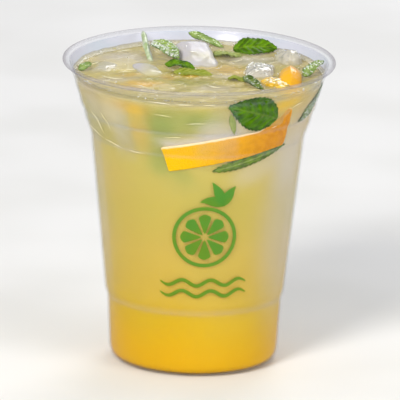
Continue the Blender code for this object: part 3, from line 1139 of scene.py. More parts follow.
@dataclass
class Drink:
    """The cloudy drink over its syrup, in layers that let light by down to a closed core."""

    level: float = DRINK_LEVEL
    syrup_top: float = 14.5
    steps: int = 200
    run: float = 1.6
    ring: float = 1.2
    meniscus: float = 1.1
    ripple: float = 0.42
    sinking: float = 0.85
    top_band: float = 0.9
    layers: tuple[tuple[Depth, float], ...] = (
        (Depth.SURFACE, -0.12),
        (Depth.MIDDLE, 0.45),
        (Depth.CORE, 3.0),
    )
    wall_stains: tuple[Stain, ...] = (
        Stain(Tone.GREEN, (-12.0, 97.6), (19.0, 5.6), 0.62),
        Stain(Tone.GREEN, (-20.0, 92.0), (9.0, 7.0), 0.5, 20.0),
        Stain(Tone.GREEN, (4.0, 99.5), (10.0, 3.4), 0.4),
        Stain(Tone.GREEN, (-20.5, 81.5), (6.5, 5.0), 0.6),
        Stain(Tone.GREEN, (-9.0, 77.5), (8.0, 3.6), 0.4, -14.0),
        Stain(Tone.GREEN, (-70.0, 92.0), (22.0, 9.0), 0.3),
        Stain(Tone.OLIVE, (-25.0, 101.0), (2.0, 5.0), 0.25, 10.0),
        Stain(Tone.OLIVE, (17.0, 104.0), (4.0, 1.4), 0.6),
        Stain(Tone.WARM, (-36.0, 101.6), (12.0, 3.0), 0.45),
        Stain(Tone.WARM, (-30.0, 93.0), (6.0, 7.0), 0.4),
        Stain(Tone.WARM, (62.0, 96.0), (14.0, 9.0), 0.3),
        Stain(Tone.GOLD, (47.0, 102.4), (11.0, 2.2), 0.85, 8.0),
        Stain(Tone.GOLD, (-31.0, 100.8), (4.0, 1.8), 0.35),
        Stain(Tone.PALE, (-48.0, 97.0), (9.0, 7.0), 0.5, -8.0),
        Stain(Tone.PALE, (-62.0, 99.0), (7.0, 8.0), 0.4),
        Stain(Tone.PALE, (-14.0, 89.2), (9.0, 1.6), 0.5, -6.0),
        Stain(Tone.PALE, (8.0, 95.0), (9.0, 3.4), 0.5),
        Stain(Tone.PALE, (22.0, 98.0), (5.0, 4.0), 0.5),
        Stain(Tone.PALE, (-2.0, 89.6), (16.0, 2.2), 0.9, 6.0),
        Stain(Tone.PALE, (16.0, 92.4), (14.0, 2.0), 0.6, 8.0),
        Stain(Tone.PALE, (60.0, 84.0), (15.0, 16.0), 0.5),
        Stain(Tone.PALE, (34.0, 78.0), (14.0, 5.0), 0.4, 12.0),
        Stain(Tone.PALE, (66.0, 56.0), (24.0, 34.0), 0.5),
        Stain(Tone.PALE, (-80.0, 60.0), (16.0, 40.0), 0.25),
        Stain(Tone.GREEN, (150.0, 95.0), (22.0, 9.0), 0.45),
        Stain(Tone.WARM, (200.0, 88.0), (16.0, 8.0), 0.4),
    )
    top_stains: tuple[Stain, ...] = (
        Stain(Tone.WARM, (-19.5, -17.0), (8.0, 5.0), 0.7),
        Stain(Tone.WARM, (-11.0, -6.5), (3.0, 4.0), 0.55),
        Stain(Tone.WARM, (11.5, 6.0), (7.0, 7.0), 0.5),
        Stain(Tone.WARM, (-24.0, -3.0), (5.0, 2.0), 0.5, 24.0),
        Stain(Tone.OLIVE, (-6.0, 0.0), (7.0, 4.5), 0.75, -20.0),
        Stain(Tone.OLIVE, (14.0, -8.0), (5.0, 4.0), 0.55),
        Stain(Tone.OLIVE, (-10.0, -22.0), (5.0, 2.2), 0.4, 10.0),
        Stain(Tone.OLIVE, (3.0, -8.0), (6.0, 2.0), 0.5, -14.0),
        Stain(Tone.GOLD, (-2.5, -3.8), (3.4, 2.4), 0.9),
        Stain(Tone.GOLD, (35.0, -24.0), (6.0, 6.0), 0.7),
        Stain(Tone.GOLD, (-36.0, 18.0), (4.0, 3.0), 0.35),
        Stain(Tone.PALE, (-27.0, 19.0), (11.0, 9.0), 0.85),
        Stain(Tone.PALE, (-34.0, 4.0), (7.0, 3.0), 0.6, 30.0),
        Stain(Tone.PALE, (-31.0, -11.0), (9.0, 3.5), 0.6, 12.0),
        Stain(Tone.PALE, (-22.0, -24.0), (7.0, 3.0), 0.55, -18.0),
        Stain(Tone.PALE, (19.0, 20.0), (13.0, 7.0), 0.85),
        Stain(Tone.PALE, (6.0, -21.0), (8.0, 5.0), 0.65, 8.0),
        Stain(Tone.PALE, (9.0, -3.0), (4.5, 3.0), 0.5, -10.0),
        Stain(Tone.PALE, (-6.0, -33.0), (14.0, 2.0), 0.5),
        Stain(Tone.GREEN, (10.0, 29.0), (6.0, 4.0), 0.7),
        Stain(Tone.GREEN, (-3.0, -13.0), (9.0, 4.0), 0.6, -8.0),
        Stain(Tone.GREEN, (-16.0, -10.0), (5.0, 3.0), 0.5, 20.0),
        Stain(Tone.GREEN, (-38.0, 11.0), (4.0, 3.0), 0.5),
    )

    def top_height(self, x: float, y: float, inset: float, depth: float) -> float:
        """The top of a layer over a place.

        Args:
            x: the place to the right.
            y: the place to the back.
            inset: how far the layer is inside the wall.
            depth: how far its top is under the level.

        Returns:
            The height, with ripples and the rise at the wall.
        """
        edge = math.hypot(x, y) - (SHEET.radius_at(self.level) - inset)
        rise = self.meniscus * math.exp(min(edge, 0.0) / 1.1) if inset < 0 else 0.0
        wave = noise.noise(Vector((x * 0.13, y * 0.13, 1.7)))
        wave += 0.55 * noise.noise(Vector((x * 0.4, y * 0.4, 4.0)))
        return self.level - depth + rise + wave * self.ripple

    def layer(self, depth: Depth, inset: float) -> tuple[np.ndarray, Faces, np.ndarray, Faces]:
        """One layer of the drink and of the syrup under it.

        Args:
            depth: which layer it is.
            inset: how far it is inside the wall.

        Returns:
            The drink's points and faces, then the syrup's.
        """
        sunk = max(inset, 0.0) * self.sinking
        top = self.level - sunk
        side = SHEET.lining(inset, top, self.syrup_top, self.run)
        rim = side[0][0]
        count = round(rim / self.ring)
        surface = [(rim * index / count, top) for index in range(count)]
        profile = [*surface, *side]
        if depth is Depth.CORE:
            profile.append((0.0, self.syrup_top))
        points, faces = turned(profile, self.steps)
        for point in points:
            if point[2] > top - 0.01:
                point[2] = self.top_height(point[0], point[1], inset, sunk)
        below = [(SHEET.radius_at(self.syrup_top, inset), self.syrup_top)]
        below += [point for point in SHEET.inside(inset) if point[1] < self.syrup_top]
        if depth is Depth.CORE:
            below.insert(0, (0.0, self.syrup_top))
        low_points, low_faces = turned(divide(soften(below), self.run), self.steps)
        return points, faces, low_points, low_faces

    @staticmethod
    def stains(
        points: np.ndarray, on_wall: Sequence[Stain], on_top: Sequence[Stain], top: float
    ) -> dict[str, np.ndarray]:
        """How strong each tone is.

        Args:
            points: the layer's points.
            on_wall: the patches below the top.
            on_top: the patches at the top.
            top: the height of the layer's top.

        Returns:
            The strength at each point under the name of each tone's mask.
        """
        angle = np.degrees(np.arctan2(points[:, 0], -points[:, 1]))
        high = points[:, 2] > top - Drink.top_band
        masks = {tone.value[0]: np.zeros(len(points)) for tone in Tone}
        for stain in on_wall:
            masks[stain.tone.value[0]] += stain.at(angle, points[:, 2]) * ~high
        for stain in on_top:
            masks[stain.tone.value[0]] += stain.at(points[:, 0], points[:, 1]) * high
        return {name: np.clip(mask, 0.0, 0.95) for name, mask in masks.items()}

    def build(self) -> list[Object]:
        """Makes the layers of the drink and of the syrup.

        Returns:
            The layers. The outermost ones stand for the two nodes.
        """
        made = []
        for depth, inset in self.layers:
            name = depth.name.lower()
            wet = CloudyDrink(
                "drink_" + name, roughness=0.12, gloss=0.3, index=1.33, depth=depth, wetness=0.25
            )
            thick = CloudyDrink("syrup_" + name, roughness=0.4, gloss=0.02, index=1.38, depth=depth)
            points, faces, low_points, low_faces = self.layer(depth, inset)
            top = self.level - max(inset, 0.0) * self.sinking
            outer = depth is Depth.SURFACE
            for piece, place, corners, finish, slot, node, high in (
                ("drink_" + name, points, faces, wet, "cloudy_drink", "drink", top),
                ("syrup_" + name, low_points, low_faces, thick, "golden_syrup", "syrup", self.level),
            ):
                values = self.stains(place, self.wall_stains, self.top_stains, high)
                nodes = [node] if outer else []
                made.append(make_piece(piece, place, corners, finish.build(), nodes, values))
        return made


# Ice


@dataclass
class Ice:
    """The half melted blocks at the surface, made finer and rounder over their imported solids."""

    voxel: float = 0.75
    smoothing: int = 55
    hollows: float = 0.5
    milky: Finish = MilkyIce("ice_milky", gloss=0.25, coat=0.12, scatter=0.3, index=1.31, depth=0.00012)
    glassy: Finish = MilkyIce(
        "ice_glassy",
        roughness=0.06,
        coat=1.0,
        transmission=0.12,
        index=1.31,
        depth=0.0007,
        cool=display(200, 194, 178),
        warm=display(202, 194, 148),
    )
    drowned: Finish = MilkyIce(
        "ice_drowned",
        roughness=0.15,
        coat=0.5,
        index=1.31,
        cool=display(190, 184, 160),
        warm=display(186, 176, 128),
    )
    names: tuple[str, ...] = ("ice_back_center", "ice_left", "ice_right", "ice_back_right", "ice_far_left")

    def build(self) -> list[Object]:
        """Makes the blocks.

        Returns:
            The blocks, each in the place of its node.
        """
        finishes = {"ice_right": self.glassy, "ice_back_right": self.glassy, "ice_far_left": self.drowned}
        made = []
        for number, name in enumerate(self.names):
            mesh = fine_mesh(name + "_fine", frame["nodes"][name].data, self.voxel, self.smoothing)
            points = points_of(mesh)
            normals = normals_of(mesh)
            clear = finishes.get(name) is self.glassy
            wave = noise_at(points, 0.16, number) * self.hollows * (1.6 if clear else 1.0)
            wave += noise_at(points, 0.45, number + 9) * (0.5 if clear else 0.16)
            set_points(mesh, points + normals * wave[:, None])
            material = Materials.get(finishes.get(name, self.milky))
            made.append(mount(name + "_block", mesh, material, [name]))
        return made


# Mint


class LeafKind(Enum):
    """The looks of a mint leaf, with its finish."""

    FRESH = MintGreen("mint_fresh", roughness=0.4, gloss=0.16)
    PRESSED = MintGreen("mint_pressed", roughness=0.5, gloss=0.04, veined=0.34, bright=display(78, 122, 0))
    FROSTED = MintGreen(
        "mint_frosted",
        roughness=0.3,
        coat=0.7,
        deep=display(58, 98, 6),
        bright=display(156, 180, 86),
        vein=display(204, 212, 160),
    )
    WET = MintGreen(
        "mint_wet",
        roughness=0.22,
        coat=0.5,
        deep=display(74, 106, 30),
        bright=display(140, 164, 76),
        vein=display(186, 202, 130),
        veined=0.8,
    )
    DARK = MintGreen(
        "mint_dark",
        roughness=0.35,
        gloss=0.3,
        deep=display(34, 56, 4),
        bright=display(100, 128, 20),
        vein=display(176, 186, 110),
        veined=0.6,
    )
    STALK = MintGreen(
        "mint_stalk",
        roughness=0.5,
        gloss=0.05,
        deep=display(112, 124, 30),
        bright=display(158, 164, 76),
        veined=0.3,
    )
    SUNK = MintGreen(
        "mint_sunk",
        roughness=0.5,
        gloss=0.2,
        deep=display(118, 132, 60),
        bright=display(158, 168, 92),
        vein=display(178, 182, 110),
        veined=0.3,
        fading=True,
    )
    HAZY = MintGreen(
        "mint_hazy",
        roughness=0.5,
        gloss=0.2,
        deep=display(138, 152, 96),
        bright=display(160, 170, 112),
        vein=display(170, 176, 120),
        veined=0.2,
        fading=True,
    )


@dataclass
class LeafShape:
    """The form that every mint leaf shares: a toothed blade, quilted between its veins."""

    rows: int = 67
    columns: int = 21
    point: float = 0.14
    teeth: int = 9
    tooth: float = 0.13
    vein_width: float = 0.1
    quilt: float = 0.34
    crinkle: float = 0.32
    thickness: float = 0.3

    def grid(self, seed: float) -> dict[str, np.ndarray]:
        """The form of one face of a leaf.

        Args:
            seed: picks the leaf's crumples.

        Returns:
            The shares along and across, half width, relief and masks at each point.
        """
        lengthways, sideways = np.linspace(0, 1, self.rows), np.linspace(-1, 1, self.columns)
        share, across = np.meshgrid(lengthways, sideways, indexing="ij")
        share, across = share.ravel(), across.ravel()
        belly = np.sin(np.pi * share**0.8) * (share > 0) * (share < 1)
        belly = np.maximum(belly, 0)
        saw = 1 - np.mod(share * self.teeth, 1.0)
        half = np.maximum(self.point, belly**0.8 + self.tooth * (saw - 0.3) * np.minimum(belly * 3, 1))
        phase = np.mod(share * 6.5 - np.abs(across) * 1.5, 1.0)
        distance = np.minimum(phase, 1 - phase)
        side = 1 - smooth_step(distance, 0.0, self.vein_width * 1.3)
        middle = 1 - smooth_step(np.abs(across), 0.02, self.vein_width)
        vein = np.maximum(side * (1 - np.abs(across) * 0.7), middle)
        puff = np.sin(np.pi * phase) ** 2 * (1 - middle) * (1 - across**4)
        places = np.stack([share * 5, across * 2, np.full_like(share, seed)], axis=1)
        crumple = noise_at(places, 1.0) + 0.5 * noise_at(places, 2.7, 3)
        relief = self.quilt * puff + self.crinkle * crumple
        cover = smooth_step(1 - np.abs(across), 0.0, 0.45)
        cover *= smooth_step(np.minimum(share, 1 - share), 0.0, 0.18)
        return {
            "share": share,
            "across": across,
            "half": half,
            "vein": vein,
            "puff": puff,
            "relief": relief,
            "cover": cover,
        }

    def make(self, name: str, sheet: Sheet, kind: LeafKind, node: str) -> Object:
        """Makes a leaf as a closed piece.

        Args:
            name: the piece's name.
            sheet: the points of its upper and lower faces, and its grid.
            kind: its looks.
            node: the node that it replaces, or none.

        Returns:
            The piece.
        """
        upper, lower, grid = sheet
        values = {key: np.tile(grid[key], 2) for key in ("vein", "puff", "cover")}
        points = np.concatenate([upper, lower])
        faces = sheet_faces(self.rows, self.columns)
        nodes = [node] if node else []
        return make_piece(name, points, faces, Materials.get(kind.value), nodes, values)


class Leaf:
    """What a leaf of either kind has in common."""

    name: str
    kind: LeafKind
    shape: LeafShape

    def faces(self) -> Sheet:
        """The points of its two faces, and their grid."""
        raise NotImplementedError

    def build(self, node: str = "") -> Object:
        """The leaf, in the place of a node if it stands for one."""
        return self.shape.make(self.name, self.faces(), self.kind, node)


@dataclass
class LooseLeaf(Leaf):
    """A leaf at the surface, from its base to its tip, that faces a direction."""

    name: str
    base: Place
    tip: Place
    width: float
    facing: Place = (0, 0, 1)
    arch: float = 0.8
    fold: float = 0.5
    ripple: float = 0.4
    kind: LeafKind = LeafKind.FRESH
    seed: float = 0.0
    shape: LeafShape = field(default_factory=LeafShape)

    def faces(self) -> Sheet:
        """Spreads the leaf between its ends.

        Returns:
            The points of its upper and lower faces, and their grid.
        """
        grid = self.shape.grid(self.seed)
        share, across = grid["share"], grid["across"]
        base = Vector(self.base)
        along = Vector(self.tip) - base
        forward = along.normalized()
        side = Vector(self.facing).cross(forward).normalized()
        up = forward.cross(side)
        rise = self.arch * 4 * share * (1 - share) + self.fold * np.abs(across) * np.sin(np.pi * share)
        rise += self.ripple * across * np.sin(3 * np.pi * share) + grid["relief"] * min(1.0, self.width / 7)
        reach = np.outer(share * along.length, forward)
        reach += np.outer(across * grid["half"] * self.width / 2, side)
        upper = np.array(base) + reach + np.outer(rise, up)
        return upper, upper - np.array(up) * self.shape.thickness, grid


@dataclass
class WallLeaf(Leaf):
    """A leaf that lies against the wall between two places of (angle, height)."""

    name: str
    start: Point
    end: Point
    width: float
    inset: float = -0.36
    kind: LeafKind = LeafKind.FRESH
    seed: float = 0.0
    shape: LeafShape = field(default_factory=LeafShape)

    def faces(self) -> Sheet:
        """Lays the leaf against the wall.

        Returns:
            The points of its outer and inner faces, and their grid.
        """
        grid = self.shape.grid(self.seed)
        spread = SHEET.radius_at((self.start[1] + self.end[1]) / 2)
        first = np.array((math.radians(self.start[0]) * spread, self.start[1]))
        along = np.array((math.radians(self.end[0]) * spread, self.end[1])) - first
        sideways = np.array((-along[1], along[0])) / np.linalg.norm(along)
        away = grid["across"] * grid["half"] * self.width / 2
        flat = first + np.outer(grid["share"], along) + np.outer(away, sideways)
        relief = (0.35 - grid["relief"]) * min(1.0, self.width / 9) * 0.55
        outer = []
        inner = []
        for (place, height), sunk in zip(flat, relief):
            angle = math.degrees(place / spread)
            outer.append(SHEET.wall_point(angle, height, self.inset + sunk))
            inner.append(SHEET.wall_point(angle, height, self.inset + sunk + 0.45))
        return np.array(outer), np.array(inner), grid


@dataclass
class Stem:
    """The bare ribbed stem that leans on the back of the rim."""

    path: tuple[Place, ...] = (
        (-20.6, 39.3, 110.3),
        (-19.8, 32.5, 109.2),
        (-18.9, 25.0, 107.3),
        (-17.8, 19.5, 105.4),
        (-16.8, 16.0, 103.6),
    )
    radius: float = 0.95
    sides: int = 16
    rings: int = 60
    finish: Finish = Tinted(
        "mint_stem_skin",
        roughness=0.3,
        coat=0.6,
        first=display(158, 180, 118),
        second=display(206, 216, 184),
        scale=380.0,
        depth=0.00008,
    )

    def build(self) -> list[Object]:
        """Makes the stem, a ribbed tube with closed ends and a knot on the way.

        Returns:
            The stem, in the place of its node.
        """
        path = [Vector(point) for point in self.path]
        points = []
        for ring in range(self.rings):
            share = ring / (self.rings - 1) * (len(path) - 1)
            index = min(int(share), len(path) - 2)
            before = path[max(index - 1, 0)]
            after = path[min(index + 2, len(path) - 1)]
            place = self.curve(before, path[index], path[index + 1], after, share - index)
            ahead = self.curve(before, path[index], path[index + 1], after, share - index + 0.01)
            forward = (ahead - place).normalized()
            side = forward.cross(Vector((0, 0, 1))).normalized()
            up = side.cross(forward)
            knot = 1 + 0.35 * math.exp(-(((ring / self.rings - 0.42) / 0.03) ** 2))
            end = min(1.0, 0.25 + 6 * min(ring, self.rings - 1 - ring) / self.rings)
            for step in range(self.sides):
                angle = 2 * math.pi * step / self.sides
                rib = self.radius * knot * end * (1 + 0.12 * math.cos(4 * angle))
                points.append(place + (side * math.cos(angle) + up * math.sin(angle)) * rib)
        faces = grid_faces(self.rings, self.sides, round_about=True)
        faces.append(list(range(self.sides))[::-1])
        faces.append(list(range((self.rings - 1) * self.sides, self.rings * self.sides)))
        return [make_piece("mint_stem_tube", points, faces, self.finish.build(), ["mint_stem"])]

    @staticmethod
    def curve(before: Vector, start: Vector, end: Vector, after: Vector, share: float) -> Vector:
        """A point on a smooth curve.

        Args:
            before: the point before start.
            start: where the curve starts.
            end: where it ends.
            after: the point after end.
            share: the share of the way.

        Returns:
            The point.
        """
        first = 2 * start + (end - before) * share
        second = (2 * before - 5 * start + 4 * end - after) * share**2
        return (first + second + (3 * start - before - 3 * end + after) * share**3) / 2


@dataclass
class Mint:
    """Every leaf of mint that shows whole, and the stem."""

    loose: tuple[LooseLeaf, ...] = (
        LooseLeaf(
            "leaf_frosted", (-16.6, 27, 110), (-7.4, 13.4, 107.2), 7.4, (0.1, -0.4, 1), kind=LeafKind.FROSTED,
            seed=1,
        ),
        LooseLeaf("leaf_center", (-12.2, 8, 106.4), (-1.6, 4, 106.1), 4.6, (0, -0.35, 1), seed=2),
        LooseLeaf(
            "leaf_back", (-4, 40.4, 110), (8.6, 35.4, 106.1), 3.4, (0, -0.6, 1), arch=0.3, kind=LeafKind.WET,
            seed=3,
        ),
        LooseLeaf("leaf_back_right", (12.2, 32.4, 106.3), (28, 33.2, 106.8), 9.4, (0, -0.5, 1), seed=4),
        LooseLeaf(
            "leaf_right_wall", (37.6, -4, 105.9), (44.5, 5.4, 109.3), 5.2, (-0.5, -0.6, 0.8),
            kind=LeafKind.WET, seed=5,
        ),
        LooseLeaf(
            "leaf_far_left", (-43.1, -1, 106), (-38.6, 5, 106.7), 2.8, (0.3, -0.6, 1), arch=0.3,
            kind=LeafKind.WET, seed=6,
        ),
        LooseLeaf(
            "leaf_glint", (15.9, -8.4, 106.5), (22.9, -24, 106.1), 3.4, (-0.6, 0, 1), arch=0.4,
            kind=LeafKind.DARK, seed=7,
        ),
    )
    walled: tuple[WallLeaf, ...] = (
        WallLeaf(
            "leaf_front", (41.0, 97.6), (14.3, 104.2), 12.6, inset=-0.44, kind=LeafKind.PRESSED, seed=8,
            shape=LeafShape(rows=91, teeth=13, tooth=0.12, quilt=0.6, crinkle=0.6),
        ),
        WallLeaf(
            "leaf_under_slice", (8.5, 78.8), (53.0, 85.8), 3.4, kind=LeafKind.DARK, seed=9,
            shape=LeafShape(rows=91, teeth=15, tooth=0.42),
        ),
        WallLeaf(
            "leaf_right_edge", (60.0, 93.6), (86.5, 103.2), 5.0, kind=LeafKind.DARK, seed=10,
            shape=LeafShape(rows=91, teeth=11, tooth=0.3, crinkle=0.5),
        ),
    )

    def build(self) -> list[Object]:
        """The leaves and the stem. The node of a leaf has its name with mint_ before it."""
        leaves = (*self.loose, *self.walled)
        return [leaf.build("mint_" + leaf.name) for leaf in leaves] + Stem().build()


@dataclass
class FrostAndGlints:
    """Wet white grains on the leaves, partly frost and partly painted glints, and drops on the ice."""

    drops: int = 90
    lowest_drop: float = 106.3
    grain: Finish = Tinted("frost_grains", roughness=0.12, coat=1.0, transmission=0.2, index=1.33)
    drop: Finish = Tinted("clear_drops", roughness=0.04, coat=1.0, transmission=0.75, index=1.33)

    def build(self, leaves: Sequence[tuple[Leaf, int]]) -> list[Object]:
        """The grains and the drops, each as one piece.

        Args:
            leaves: the leaves with grains, and how many each has.

        Returns:
            The two pieces.
        """
        draw = random.Random(21)
        grains = Beads()
        for leaf, count in leaves:
            upper, _, grid = leaf.faces()
            shown = np.flatnonzero((np.abs(grid["across"]) < 0.95) & (np.abs(grid["share"] - 0.5) < 0.45))
            for index in draw.choices(shown.tolist(), k=count):
                grains.add(upper[index], draw.uniform(0.12, 0.32), 0.8)
        drops = Beads(2)
        for name, share in (("ice_right_block", 0.7), ("ice_back_right_block", 0.3)):
            mesh = bpy.data.objects[name].data
            points = points_of(mesh)
            normals = normals_of(mesh)
            shown = np.flatnonzero((points[:, 2] > self.lowest_drop) & (normals[:, 2] > 0.1)).tolist()
            for _ in range(round(self.drops * share) if shown else 0):
                index = draw.choice(shown)
                drops.add(points[index], draw.uniform(0.2, 0.6), 0.6)
        return [
            grains.make("frost_grains", self.grain.build(), "mint_leaf"),
            drops.make("clear_drops", self.drop.build(), "cloudy_drink"),
        ]


# Orange


@dataclass
class FrontSlice:
    """The quarter wheel of orange behind the front wall, its rind pressed to the plastic.

    Its lift grows over the first range of angles and dies away over the second.
    """

    node: str = "orange_slice_front"
    height: float = 82.2
    rise: float = 0.203
    fall: float = 0.08
    core: Point = (0.5, -4.0)
    inset: float = -0.34
    voxel: float = 0.5
    segment: float = 34.0
    lift: float = 5.2
    lift_starts: Point = (31.0, 40.0)
    lift_ends: Point = (56.0, 47.0)
    finish: Finish = OrangeSkin("orange_pressed", roughness=0.5, gloss=0.04, rind_left=display(224, 175, 0))

    def build(self) -> list[Object]:
        """Brings the rind out to the wall, and marks flesh, pith and rind.

        Returns:
            The slice, in the place of its node.
        """
        mesh = fine_mesh(self.node + "_fine", frame["nodes"][self.node].data, self.voxel, 5)
        points = points_of(mesh)
        level = points[:, 2] - (self.height + self.rise * points[:, 0] - self.fall * points[:, 1])
        angle = np.degrees(np.arctan2(points[:, 0], -points[:, 1]))
        lifted = self.lift * smooth_step(angle, *self.lift_starts) * smooth_step(angle, *self.lift_ends)
        lifted *= smooth_step(level, -1.0, 4.0)
        points[:, 2] += lifted
        level += lifted * 0.4
        radius = np.hypot(points[:, 0], points[:, 1])
        wall = np.array([SHEET.radius_at(height, self.inset) for height in points[:, 2]])
        packed = SHEET.packed_radius(points[:, 2]) - 0.45 - 1.5 * smooth_step(angle, 15.0, 21.0)
        within = packed - radius
        snap = np.clip(within, -0.5, 1.2) * smooth_step(within, 2.6, 1.2)
        moved = (wall - packed + snap) * smooth_step(within, 6.0, 1.2)
        factor = (radius + moved) / np.maximum(radius, 1e-6)
        points[:, 0] *= factor
        points[:, 1] *= factor
        raised = 3.0 * smooth_step(angle, 36.0, 46.0) * (level > 0)
        edge = level - raised + noise_at(points, 0.3) * 0.18
        rind = smooth_step(within, 2.2, 1.6) * smooth_step(edge, 4.3, 3.8)
        pith = smooth_step(within, 4.4, 3.2)
        spoke = np.degrees(np.arctan2(points[:, 0] - self.core[0], -(points[:, 1] - self.core[1])))
        turn = np.abs(np.mod(spoke, self.segment) - self.segment / 2)
        membrane = smooth_step(turn, self.segment / 2 - 2.4, self.segment / 2 - 0.8)
        across = smooth_step(angle, -18.0, 50.0)
        set_points(mesh, points)
        values = {"rind": rind, "pith": pith, "membrane": membrane, "across": across}
        material = Materials.get(self.finish)
        return [mount(self.node + "_skin", mesh, material, [self.node], values)]


@dataclass
class TopSlice:
    """The half wheel of orange that stands out of the drink at the right."""

    node: str = "orange_slice_top"
    centre: Place = (32.8, -4.5, 95.0)
    radius: float = 14.5
    half: float = 3.8
    voxel: float = 0.45
    segment: float = 30.0
    dome: float = 3.4
    finish: Finish = OrangeSkin(
        "orange_wet",
        roughness=0.3,
        coat=0.35,
        rind_left=display(238, 180, 0),
        rind_right=display(226, 160, 0),
    )

    def build(self) -> list[Object]:
        """Marks flesh, pith and rind on the half wheel.

        Returns:
            The half wheel, in the place of its node.
        """
        mesh = fine_mesh(self.node + "_fine", frame["nodes"][self.node].data, self.voxel, 2)
        points = points_of(mesh)
        offset = np.abs(points[:, 0] - self.centre[0])
        distance = np.hypot(points[:, 1] - self.centre[1], points[:, 2] - self.centre[2])
        depth = self.radius - distance
        rind = smooth_step(depth, 4.0, 3.4)
        pith = smooth_step(depth, 5.6, 4.8)
        spoke = np.degrees(np.arctan2(points[:, 1] - self.centre[1], points[:, 2] - self.centre[2]))
        turn = np.abs(np.mod(spoke, self.segment) - self.segment / 2)
        membrane = smooth_step(turn, self.segment / 2 - 2.0, self.segment / 2 - 0.6)
        membrane *= offset > self.half - 0.6
        ripple = noise_at(points, 0.5, 4)
        points += normals_of(mesh) * (ripple * 0.18)[:, None]
        narrow = np.sqrt(np.clip(1 - (1 - np.clip(depth / self.dome, 0.0, 1.0)) ** 2, 0.05, 1.0))
        points[:, 0] = self.centre[0] + (points[:, 0] - self.centre[0]) * narrow * 1.05
        set_points(mesh, points)
        across = smooth_step(points[:, 0], self.centre[0] - 3, self.centre[0] + 3)
        values = {"rind": rind, "pith": pith, "membrane": membrane, "across": across}
        material = Materials.get(self.finish)
        return [mount(self.node + "_skin", mesh, material, [self.node], values)]


# What is sunk in the drink


@dataclass
class SunkPieces:
    """Leaves and bits of stalk that show softly through the cloudy drink."""

    leaves: tuple[WallLeaf, ...] = (
        WallLeaf(
            "sunk_leaf_small", (15.5, 101.0), (18.5, 93.0), 2.2, inset=-0.3, kind=LeafKind.STALK, seed=12
        ),
        WallLeaf("sunk_leaf_broad", (-24.0, 99.0), (4.0, 95.0), 13.0, inset=0.9, kind=LeafKind.HAZY, seed=13),
        WallLeaf("sunk_leaf_low", (-32.0, 82.0), (-8.0, 76.0), 9.5, inset=0.9, kind=LeafKind.HAZY, seed=14),
        WallLeaf("sunk_leaf_lower", (-20.0, 74.0), (4.0, 72.0), 8.0, inset=1.1, kind=LeafKind.HAZY, seed=15),
        WallLeaf(
            "sunk_leaf_left", (-34.0, 95.0), (-18.0, 88.0), 10.0, inset=1.1, kind=LeafKind.HAZY, seed=16
        ),
    )
    loose: tuple[LooseLeaf, ...] = (
        LooseLeaf(
            "sunk_leaf_top", (-9.0, 0.5, 105.3), (5.0, -2.0, 105.0), 6.0, (0, -0.2, 1), arch=0.4,
            kind=LeafKind.STALK, seed=17,
        ),
        LooseLeaf(
            "sunk_leaf_top_right", (10.5, -6.5, 105.4), (17.0, -9.5, 105.1), 4.6, arch=0.3,
            kind=LeafKind.STALK, seed=18,
        ),
        LooseLeaf(
            "sunk_leaf_back", (4.0, 27.0, 105.2), (16.0, 25.0, 105.3), 8.0, arch=0.5, kind=LeafKind.SUNK,
            seed=19,
        ),
    )

    def build(self) -> list[Object]:
        """The sunk pieces."""
        return [leaf.build() for leaf in (*self.leaves, *self.loose)]


